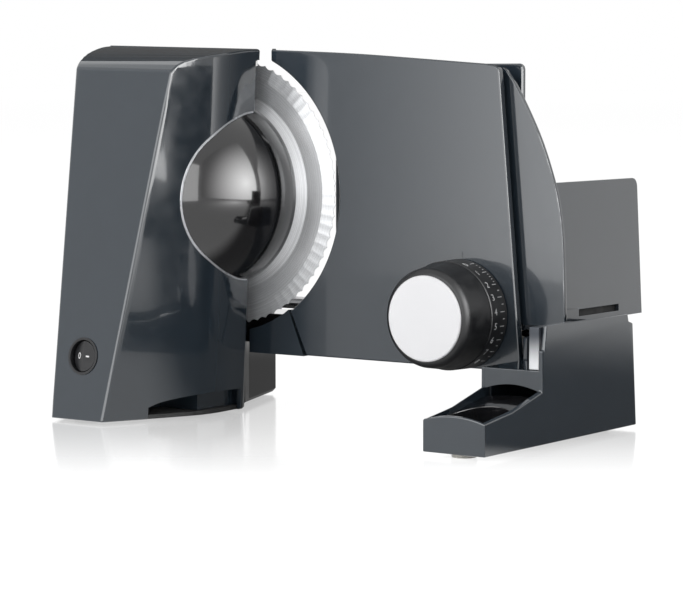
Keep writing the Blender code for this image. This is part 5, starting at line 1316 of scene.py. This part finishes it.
@dataclass
class Dial:
    """Thickness dial: scale ring with its numbers, grip and silver cap."""

    x: float = 180.7
    z: float = 69.1
    sides: int = 128
    scale_radius: float = 33.0
    scale_front_radius: float = 32.6
    scale_back: float = -5.4
    scale_front: float = -21.6
    number_y: float = -17.4
    number_size: float = 5.8
    number_angles: tuple[float, ...] = (20.0, 37.0, 54.0, 68.5, 84.0, 99.0, 114.0, 129.0, 144.0)
    tick_y: float = -10.6
    tick_width: float = 0.42
    fine_dots: tuple[int, ...] = (3, 4)
    number_steps: int = 4
    print_lift: float = 0.34
    print_sink: float = 0.12
    line_length: float = 4.2
    half_length: float = 1.8
    dot_length: float = 1.2
    scale_bore: float = 15.0
    scale_edge: float = 0.5
    grip_rear: tuple[Flat, ...] = ((0.0, -21.9), (31.6, -21.9), (32.1, -22.4), (29.7, -38.5))
    grip_front: tuple[Flat, ...] = ((25.9, -44.0), (25.9, -42.2), (0.0, -42.2))
    shoulder: tuple[Flat, float] = ((24.2, -38.5), 5.5)
    cap_line: tuple[Flat, ...] = ((0.0, -42.5), (25.5, -42.5), (25.5, -44.2), (25.3, -44.7), (24.8, -45.0),
                                  (0.0, -45.0))

    def ring(self) -> bpy.types.Object:
        """Model the scale ring.

        Returns:
            The ring that carries the numbers.
        """
        edge = self.scale_edge
        profile = [(self.scale_bore, self.scale_back), (self.scale_bore, self.scale_front),
                   (self.scale_front_radius - edge, self.scale_front),
                   (self.scale_front_radius, self.scale_front + edge),
                   (self.scale_radius, self.scale_back - edge), (self.scale_radius - edge, self.scale_back)]
        return shade(turned("scale_ring", profile, Axis.Y, (self.x, 0.0, self.z), self.sides, ring=True), 30.0)

    def grip(self) -> bpy.types.Object:
        """Model the flared grip.

        Returns:
            The grip with its soft shoulder.
        """
        shoulder = arc(*self.shoulder, 0.0, -math.pi / 2, 8)
        profile = list(self.grip_rear) + shoulder[1:] + list(self.grip_front)
        return shade(turned("grip_knob", profile, Axis.Y, (self.x, 0.0, self.z), self.sides), 30.0)

    def cap(self) -> bpy.types.Object:
        """Model the silver disc."""
        disc = turned("cap_disc", list(self.cap_line), Axis.Y, (self.x, 0.0, self.z), self.sides)
        return shade(disc, 20.0)

    def wrap(self, piece: bpy.types.Object, angle: float, along: float, lift: float) -> bpy.types.Object:
        """Bend a flat mark round the ring.

        Args:
            piece: A mark drawn in X and Y, with X along the ring's side and Y up.
            angle: Place on the ring in degrees, clockwise from its top.
            along: Depth of the mark's centre.
            lift: Height of the mark's face over the ring.

        Returns:
            The bent mark.
        """
        for vertex in piece.data.vertices:
            u, v, w = vertex.co
            turn = math.radians(angle) - v / self.scale_radius
            slope = (self.scale_radius - self.scale_front_radius) / (self.scale_back - self.scale_front)
            radius = self.scale_radius - (self.scale_back - (along + u)) * slope + w * lift - self.print_sink
            vertex.co = (self.x + radius * math.sin(turn), along + u, self.z + radius * math.cos(turn))
        return mend(piece)

    def number(self, text: str, angle: float) -> bpy.types.Object:
        """Model one printed number.

        Args:
            text: The number.
            angle: Its place in degrees, clockwise from the top.

        Returns:
            The bent number.
        """
        sign = printed(f"scale_number_{text}", text, self.number_size, self.number_steps)
        return self.wrap(sign, angle, self.number_y, self.print_lift)

    def tick(self, name: str, angle: float, length: float) -> bpy.types.Object:
        """Model one printed line of the scale.

        Args:
            name: Name of the line.
            angle: Its place in degrees, clockwise from the top.
            length: Its length along the ring's side.

        Returns:
            The bent line.
        """
        half = self.tick_width / 2
        piece = block(name, (-length / 2, -half, -0.5), (length / 2, half, 0.5))
        return self.wrap(piece, angle, self.tick_y + (self.line_length - length) / 2, self.print_lift)

    def build(self) -> None:
        """Build and place the dial's pieces."""
        settle(self.ring(), "dial", BLACK_SATIN, ("dial_scale",))
        settle(self.grip(), "dial", BLACK_SATIN, ("dial_grip",))
        settle(self.cap(), "dial", CAP_SILVER, ("dial_cap",))
        marks = []
        for value, angle in enumerate(self.number_angles):
            marks.append(self.number(str(value), angle))
            marks.append(self.tick(f"line_{value}", angle, self.line_length))
        for value, (first, second) in enumerate(zip(self.number_angles, self.number_angles[1:])):
            dots = self.fine_dots[value] if value < len(self.fine_dots) else 1
            length = self.half_length if dots == 1 else self.dot_length
            for dot in range(dots):
                angle = first + (second - first) * (dot + 1) / (dots + 1)
                marks.append(self.tick(f"dot_{value}_{dot}", angle, length))
        settle(gather("scale_numbers", marks), "dial", PRINT_WHITE)


# Carriage


@dataclass
class Carriage:
    """Food table with its upright wall, and the tall thumb guard."""

    guard_front: float = 3.0
    guard_rear: float = 6.1
    guard_curve: tuple[Flat, ...] = ((248.1, 64.0), (246.4, 109.5), (244.2, 130.0), (240.0, 148.6),
                                     (230.2, 174.8), (216.3, 201.0), (206.5, 215.0))
    guard_tip: Flat = (203.8, 216.5)
    guard_heel: Flat = (203.5, 63.5)
    # Black strip behind the slot in the upright wall: painted shade that keeps the slot dark.
    backing: tuple[Place, Place] = ((213.6, 44.0, 61.5), (214.9, 123.0, 71.0))
    hook_cut: tuple[Place, Place] = ((190.0, 32.0, 90.0), (240.0, 80.0, 240.0))

    def guard(self) -> bpy.types.Object:
        """Model the curved thumb guard.

        Returns:
            The guard as a thin sheet.
        """
        outline = [self.guard_heel] + curve_through(list(self.guard_curve), 8) + [self.guard_tip]
        piece = plate("thumb_guard_sheet", outline, Axis.Y, self.guard_front, self.guard_rear)
        return shade(soften(piece, 0.8, 3, 30.0), 30.0)

    def build(self) -> None:
        """Build and place the carriage's pieces."""
        settle(self.guard(), "carriage", SLATE, ("thumb_guard",))
        bed = copy_node("carriage_bed", "food_table")
        settle(shade(soften(bed, 0.35, 2, 40.0), 30.0), "carriage", SLATE, ("carriage_bed",))
        # Painted shade: a black matt strip behind the slot, so that the slot shows dark.
        backing = soften(block("slot_painted_shade", *self.backing), 0.3, 1, 40.0)
        settle(backing, "carriage", BLACK_MATT)
        hook = copy_node("holder_guide", "holder_hook")
        fuse(hook, block("hook_end", *self.hook_cut), Way.CUT)
        settle(shade(soften(hook, 0.4, 2, 40.0), 30.0), "leftover_holder", BLACK_SATIN, ("holder_guide",))


# Foot


@dataclass
class Foot:
    """The long right foot: toe with its round bowl, low front wall, and tall right wall."""

    left: float = 226.0
    right: float = 267.0
    bottom: float = 2.4
    crown: float = 3.2
    crown_steps: int = 8
    toe_line: tuple[Flat, ...] = ((-114.0, 20.5), (-85.0, 24.5), (-53.5, 32.5), (-51.5, 33.0))
    upright_line: tuple[Flat, ...] = ((-53.5, 2.4), (55.8, 2.4), (50.6, 64.1), (45.7, 65.6), (44.4, 69.9),
                                      (-49.0, 70.0), (-51.0, 56.0), (-53.5, 56.0))
    shoulder: float = 44.5
    wall: float = 2.8
    open_y: float = -8.0
    left_top: float = 58.0
    channel_rear: float = 41.6
    bowl: tuple[float, float, float, float] = (250.0, -95.0, 21.0, 14.0)
    margin: float = 2.2
    recess: tuple[Place, Place] = ((228.2, -112.4, 12.0), (264.8, -53.4, 60.0))
    way_top: tuple[float, float] = (32.5, 3.3)
    way_rear: float = -47.0
    insert_line: tuple[Flat, ...] = ((-112.2, 17.6), (-85.0, 21.8), (-53.0, 27.5), (-49.4, 27.6))
    post: tuple[Place, Place] = ((257.0, -52.0, 44.8), (263.6, -8.0, 69.2))
    boss: tuple[Place, Place] = ((226.4, 22.0, 44.0), (237.0, 38.0, 72.0))
    rod_place: Place = (0.0, 30.0, 66.0)
    rod_hole: float = 4.15
    rod_ends: Flat = (220.0, 233.4)
    front_clear: float = -60.0
    rear_clear: float = 48.0
    above: float = 90.0
    pocket_front: float = -48.0
    pocket_top: float = 40.0

    def section(self, y: float, top: float, crown: float, margin: float = 0.0,
                lift: float = 0.0) -> list[Vector]:
        """The foot's outline across at one depth.

        Args:
            y: Depth of the section.
            top: Height at its sides.
            crown: How much higher its middle is.
            margin: How far its sides are moved inwards.
            lift: How far its lower edge is raised.

        Returns:
            The outline's points.
        """
        steps = self.crown_steps
        left, right, bottom = self.left + margin, self.right - margin, self.bottom + lift
        ring = [Vector((left, y, bottom)), Vector((right, y, bottom))]
        for step in range(steps + 1):
            part = step / steps
            rise = crown * (1.0 - (2.0 * part - 1.0) ** 2)
            ring.append(Vector((right + (left - right) * part, y, top + rise)))
        return ring

    def body(self) -> bpy.types.Object:
        """Model the foot.

        Returns:
            The foot with the toe's recess, the arched way and the channel.
        """
        piece = split(plate("foot_body", list(self.upright_line), Axis.X, self.left, self.right))
        toe = loft("foot_toe", [self.section(y, top, self.crown) for y, top in self.toe_line])
        fuse(piece, split(toe), Way.JOIN)
        inner = self.right - self.wall
        outside = self.left - 1.0
        low_front = block("low_front", (outside, self.front_clear, self.shoulder), (inner, self.open_y, self.above))
        fuse(piece, low_front, Way.CUT)
        low_left = block("low_left", (outside, self.open_y - 1.0, self.left_top),
                         (inner, self.rear_clear, self.above))
        fuse(split(piece), low_left, Way.CUT)
        mend(piece, 0.01)
        edit_all(piece)
        bpy.ops.mesh.dissolve_limited(angle_limit=math.radians(0.5))
        close_edit()
        soften(piece, 0.7, 2, 34.0)
        low, high = self.recess
        fuse(split(piece), block("recess", low, high), Way.CUT)
        way = [self.section(y, *self.way_top, self.margin, 12.0) for y in (high[1] - 1.0, self.way_rear)]
        fuse(split(piece), split(loft("arched_way", way)), Way.CUT)
        channel = block("channel", (self.left + self.wall, self.open_y - 0.5, self.shoulder + 0.02),
                        (inner - 0.02, self.channel_rear, self.above))
        fuse(split(piece), channel, Way.CUT)
        pocket = block("pocket", (self.left + self.wall, self.pocket_front, -1.0),
                       (inner, self.channel_rear, self.pocket_top))
        fuse(split(piece), pocket, Way.CUT)
        fuse(split(piece), block("rod_boss", *self.boss), Way.JOIN)
        fuse(split(piece), rod("rod_way", self.rod_hole, *self.rod_ends, Axis.X, self.rod_place, 48), Way.CUT)
        return shade(piece, 32.0)

    def toe_bowl(self) -> bpy.types.Object:
        """Model the black bowl set into the toe.

        Returns:
            The insert with its round hollow.
        """
        sections = [self.section(y, top, self.crown * 0.5, self.margin + 0.1, 9.7) for y, top in self.insert_line]
        piece = split(loft("toe_bowl", sections))
        x, y, radius, floor = self.bowl
        fuse(piece, rod("bowl", radius, floor, 60.0, Axis.Z, (x, y, 0.0), 96), Way.CUT)
        mend(piece, 0.01)
        return shade(soften(piece, 0.4, 2, 40.0), 30.0)

    def slim_post(self) -> bpy.types.Object:
        """Model the slim post beside the plate's edge; its finish paints a reflection, bright below and dark above.
        """
        return shade(soften(block("slim_post", *self.post), 0.6, 2, 40.0), 30.0)

    def build(self) -> None:
        """Build and place the foot's pieces."""
        settle(self.body(), "housing", SLATE, ("right_foot",))
        settle(self.toe_bowl(), "housing", BLACK_GLOSS)
        settle(self.slim_post(), "housing", POST_STEEL_PAINTED_REFLECTION, ("channel_block",))


# Carried-over nodes


CARRIED: dict[str, Finish] = {
    "bottom_cover": BLACK_MATT, "chassis_cover": BLACK_MATT, "cord_gland": RUBBER,
    "rubber_foot_1": RUBBER, "rubber_foot_2": RUBBER, "rubber_foot_3": PALE_NYLON, "rubber_foot_4": RUBBER,
    "switch_bezel": BLACK_SATIN, "switch_rocker": BLACK_SATIN,
    "motor_can": SHEET_STEEL, "motor_endbell": BLACK_SATIN, "motor_bracket": SHEET_STEEL,
    "gear_frame": SHEET_STEEL, "spindle_bush": SINTERED_BRONZE, "spindle_end_bush": SINTERED_BRONZE,
    "worm_bush": SINTERED_BRONZE, "plate_bush_1": PALE_NYLON, "plate_bush_2": PALE_NYLON,
    "blade_spindle": ROD_STEEL, "blade_gear": PALE_NYLON, "gear_nut": ROD_STEEL, "lock_knob": BLACK_SATIN,
    "worm_shaft": ROD_STEEL, "armature": CORE_IRON, "plate_carrier": SHEET_STEEL, "dial_hub": PALE_NYLON,
    "guide_rod": ROD_STEEL, "chassis_base": BLACK_GLOSS,
    "lower_guard": SLATE, "cord_bay_liner": SLATE, "rod_sleeve": BLACK_SATIN, "glide_block": PALE_NYLON,
    "holder_plate": SLATE, "holder_spikes": ROD_STEEL, "holder_handle": BLACK_SATIN,
    "housing_screw_1": ROD_STEEL, "housing_screw_2": ROD_STEEL, "housing_screw_3": ROD_STEEL,
    "housing_screw_4": ROD_STEEL, "foot_screw_1": ROD_STEEL, "foot_screw_2": ROD_STEEL,
}


def dress_carried() -> None:
    """Give each CAD node that still shows its finish."""
    for node, finish in CARRIED.items():
        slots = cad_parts[node].data.materials
        slots.clear()
        slots.append(finish.material())


# Studio


@dataclass
class Studio:
    """Camera, lamps, floor, background and cards that paint reflections."""

    eye: Place = (0.9366, -1.3236, 0.2101)
    pitch: float = 0.0853
    yaw: float = 0.6202
    focal_pixels: float = 2600.0
    picture_width: float = 683.0
    sensor: float = 36.0
    air_diffuse: float = 0.55
    air_seen: float = 1.0
    floor_size: float = 60.0
    floor_colour: float = 0.8
    floor_roughness: float = 0.13
    floor_mirror: tuple[float, float, float] = (0.62, 0.02, 0.50)
    floor_ahead: Place = (0.58, -0.81, 0.0)
    floor_glow: float = 1.3
    floor_shade: float = 0.2
    glow_curve: float = 2.6
    # Painted glow and painted dark strip on the floor, seen only in reflections.
    glow_spot: Place = (0.70, -0.35, 0.0)
    glow_reach: float = 0.62
    glow_level: float = 5.0
    dark_strip: tuple[tuple[str, float, float], ...] = (("Y", -0.11, -0.06), ("Y", 0.75, 0.25), ("X", -0.5, -0.4),
                                                        ("X", 1.7, 1.4))
    dark_level: float = 0.12
    # Cards that only gloss sees: bright ones paint reflections and highlights on the slate faces and the dome, dark
    # ones paint dark reflections.
    straight_cards: tuple[tuple[str, Place, Place, Flat, Flat, Flat], ...] = (
        ("front_painted_reflection", (-0.35, -1.0, 0.42), (-0.35, 0.0, 0.42), (1.5, 0.85), (3.9, 0.85), (-0.10, 0.42)),
        ("dark_painted_reflection", (0.68, 0.19, 0.085), (0.0, 0.19, 0.085), (0.62, 0.17), (0.05, 0.05), (0.0, 1.0)),
        ("rear_dark_painted_reflection", (-0.34, 0.25, 0.42), (-0.34, 0.0, 0.42), (0.9, 0.36), (0.1, 0.1), (0.0, 1.0)),
    )
    round_cards: tuple[tuple[str, Place, Place, Flat, Place], ...] = (
        ("side_painted_highlight", (0.62, -0.65, 0.66), (-0.04, -0.65, 0.66), (1.2, 1.2), (-0.52, -0.38, 0.0)),
        ("high_side_painted_highlight", (0.62, -0.01, 0.715), (-0.04, -0.01, 0.715), (0.08, 1.09), (0.12, -0.435, 0.0)),
    )
    side_levels: Flat = (11.0, 0.8)
    side_reach: float = 1.2
    key_lamp: tuple[Place, Place, Flat, float] = ((-0.9, -1.6, 1.3), (0.0, 0.0, 0.1), (1.2, 1.2), 26.0)

    def camera(self) -> None:
        """Set up the camera at the photograph's viewing angle."""
        bpy.ops.object.camera_add(location=self.eye, rotation=(math.pi / 2 - self.pitch, 0.0, self.yaw))
        made = bpy.context.active_object
        made.data.sensor_width = self.sensor
        made.data.lens = self.focal_pixels * self.sensor / self.picture_width
        made.data.clip_start = 0.05
        made.data.dof.use_dof = False
        bpy.context.scene.camera = made

    def lamp(self, name: str, place: Place, aim: Place, size: Flat, power: float) -> bpy.types.Object:
        """Add a rectangular soft lamp.

        Args:
            name: Name of the lamp.
            place: Where it stands.
            aim: The point that it faces.
            size: Its width and height.
            power: Its power in watts.

        Returns:
            The lamp.
        """
        bpy.ops.object.light_add(type="AREA", location=place)
        made = bpy.context.active_object
        made.name = name
        made.data.shape = "RECTANGLE"
        made.data.size = size[0]
        made.data.size_y = size[1]
        made.data.energy = power
        made.rotation_mode = "QUATERNION"
        made.rotation_quaternion = (Vector(aim) - Vector(place)).to_track_quat("-Z", "Y")
        made.visible_glossy = False
        return made

    def world(self) -> None:
        """Light from all round, white to the camera, in a reflection and through glass."""
        world = bpy.data.worlds.new("studio_air")
        bpy.context.scene.world = world
        world.use_nodes = True
        tree = world.node_tree
        air = tree.nodes["Background"]
        air.inputs["Color"].default_value = (1.0, 1.0, 1.0, 1.0)
        path = tree.nodes.new("ShaderNodeLightPath")
        direct = tree.nodes.new("ShaderNodeMath")
        direct.operation = "MAXIMUM"
        tree.links.new(path.outputs["Is Camera Ray"], direct.inputs[0])
        tree.links.new(path.outputs["Is Glossy Ray"], direct.inputs[1])
        seen = tree.nodes.new("ShaderNodeMath")
        seen.operation = "MAXIMUM"
        tree.links.new(direct.outputs["Value"], seen.inputs[0])
        tree.links.new(path.outputs["Is Transmission Ray"], seen.inputs[1])
        level = tree.nodes.new("ShaderNodeMapRange")
        level.inputs["To Min"].default_value = self.air_diffuse
        level.inputs["To Max"].default_value = self.air_seen
        tree.links.new(seen.outputs["Value"], level.inputs["Value"])
        tree.links.new(level.outputs["Result"], air.inputs["Strength"])

    def floor(self) -> None:
        """Lay the white floor that mirrors the slicer faintly.

        The camera sees its mirror and shadow, gloss sees the painted glow and painted dark strip of
        floor_gloss, and the rest of the light sees plain white.
        """
        bpy.ops.mesh.primitive_plane_add(size=self.floor_size)
        made = bpy.context.active_object
        made.name = "floor"
        shader = Shader("white_mirror_floor")
        shader.base.inputs["Base Color"].default_value = (*(self.floor_colour,) * 3, 1.0)
        shader.base.inputs["Roughness"].default_value = 0.5
        glow = shader.add("ShaderNodeEmission", Strength=self.floor_glow)
        shaded = shader.add("ShaderNodeBsdfDiffuse", Color=(*(self.floor_shade,) * 3, 1.0))
        lit = shader.add("ShaderNodeAddShader")
        shader.join(glow.outputs["Emission"], lit.inputs[0])
        shader.join(shaded.outputs["BSDF"], lit.inputs[1])
        mirror = shader.add("ShaderNodeBsdfGlossy", Roughness=self.floor_roughness)
        ahead = shader.add("ShaderNodeVectorMath", operation="DOT_PRODUCT")
        ahead.inputs[1].default_value = self.floor_ahead
        shader.join(shader.place, ahead.inputs[0])
        near, far, reach = self.floor_mirror
        fade = shader.ramp(ahead.outputs["Value"], (0.0, reach), (near, far), "SMOOTHSTEP")
        seen = shader.blend(fade, lit.outputs["Shader"], mirror.outputs["BSDF"])
        # Emission that only gloss sees: the floor's painted reflection.
        white = shader.add("ShaderNodeEmission")
        shader.join(self.floor_gloss(shader), white.inputs["Strength"])
        path = shader.add("ShaderNodeLightPath")
        gloss = shader.blend(path.outputs["Is Glossy Ray"], shader.base.outputs["BSDF"], white.outputs["Emission"])
        shader.show(shader.blend(path.outputs["Is Camera Ray"], gloss, seen))
        made.data.materials.append(shader.made)

    def floor_gloss(self, shader: Shader) -> bpy.types.NodeSocket:
        """Painted reflection that gloss finds on the floor: white, with a painted glow and a painted dark strip at
        the right.

        Args:
            shader: The floor's material.

        Returns:
            The socket that holds the brightness.
        """
        # Painted light: a bright glow spot and a dark strip that only reflections show.
        level = shader.glow(self.glow_spot, self.glow_reach, self.glow_curve, (self.glow_level, 1.0))
        parts = shader.add("ShaderNodeSeparateXYZ")
        shader.join(shader.place, parts.inputs["Vector"])
        edges = [shader.ramp(parts.outputs[axis], (start, end), (0.0, 1.0), "SMOOTHSTEP")
                 for axis, start, end in self.dark_strip]
        inside = reduce(shader.product, edges)
        return shader.product(level, shader.ramp(inside, (0.0, 1.0), (1.0, self.dark_level)))

    def card(self, name: str, place: Place, aim: Place, size: Flat) -> Shader:
        """Stand a card that shows only in gloss: a painted reflection that lights nothing and casts no shadow.

        Args:
            name: Name of the card.
            place: Its centre.
            aim: The point that it faces.
            size: Its width and height.

        Returns:
            The material that the card's brightness goes into.
        """
        bpy.ops.mesh.primitive_plane_add(size=1.0)
        made = bpy.context.active_object
        made.name = name
        made.data.transform(Matrix.Diagonal((size[0], size[1], 1.0, 1.0)))
        made.location = place
        made.rotation_mode = "QUATERNION"
        made.rotation_quaternion = (Vector(aim) - Vector(place)).to_track_quat("Z", "Y")
        made.visible_camera = False
        made.visible_diffuse = False
        made.visible_shadow = False
        shader = Shader(name)
        made.data.materials.append(shader.made)
        return shader

    def shine(self, shader: Shader, level: bpy.types.NodeSocket) -> None:
        """Give a card its brightness, which only gloss sees as a painted reflection.

        Args:
            shader: The card's material.
            level: Its brightness.
        """
        light = shader.add("ShaderNodeEmission")
        shader.join(level, light.inputs["Strength"])
        shader.show(light.outputs["Emission"])

    def fade_across(self, shader: Shader, levels: Flat, stretch: Flat) -> None:
        """Let a card's painted reflection change in brightness along its width.

        Args:
            shader: The card's material.
            levels: Brightness at the two ends.
            stretch: Distances from the card's centre between which it changes.
        """
        parts = shader.add("ShaderNodeSeparateXYZ")
        shader.join(shader.place, parts.inputs["Vector"])
        self.shine(shader, shader.ramp(parts.outputs["X"], stretch, levels, "SMOOTHSTEP"))

    def fade_round(self, shader: Shader, centre: Place, levels: Flat, reach: float) -> None:
        """Let a card's painted highlight glow round one spot.

        Args:
            shader: The card's material.
            centre: The spot, from the card's centre.
            levels: Brightness at the spot and far from it.
            reach: Distance at which the glow has faded.
        """
        self.shine(shader, shader.glow(centre, reach, self.glow_curve, levels))

    def build(self) -> None:
        """Set up the whole studio."""
        self.camera()
        self.world()
        self.floor()
        # Painted reflections and highlights: cards seen only in gloss.
        for name, place, aim, size, levels, stretch in self.straight_cards:
            self.fade_across(self.card(name, place, aim, size), levels, stretch)
        for name, place, aim, size, spot in self.round_cards:
            self.fade_round(self.card(name, place, aim, size), spot, self.side_levels, self.side_reach)
        self.lamp("key_lamp", *self.key_lamp)
        bpy.context.scene.view_settings.view_transform = "Standard"


def main() -> None:
    """Build the studio, dress the frame and build every new piece."""
    logging.basicConfig(level=logging.INFO)
    Studio().build()
    dress_carried()
    Tower().build()
    Blade().build()
    StopPlate().build()
    Dial().build()
    Carriage().build()
    Foot().build()


if __name__ == "__main__":
    main()
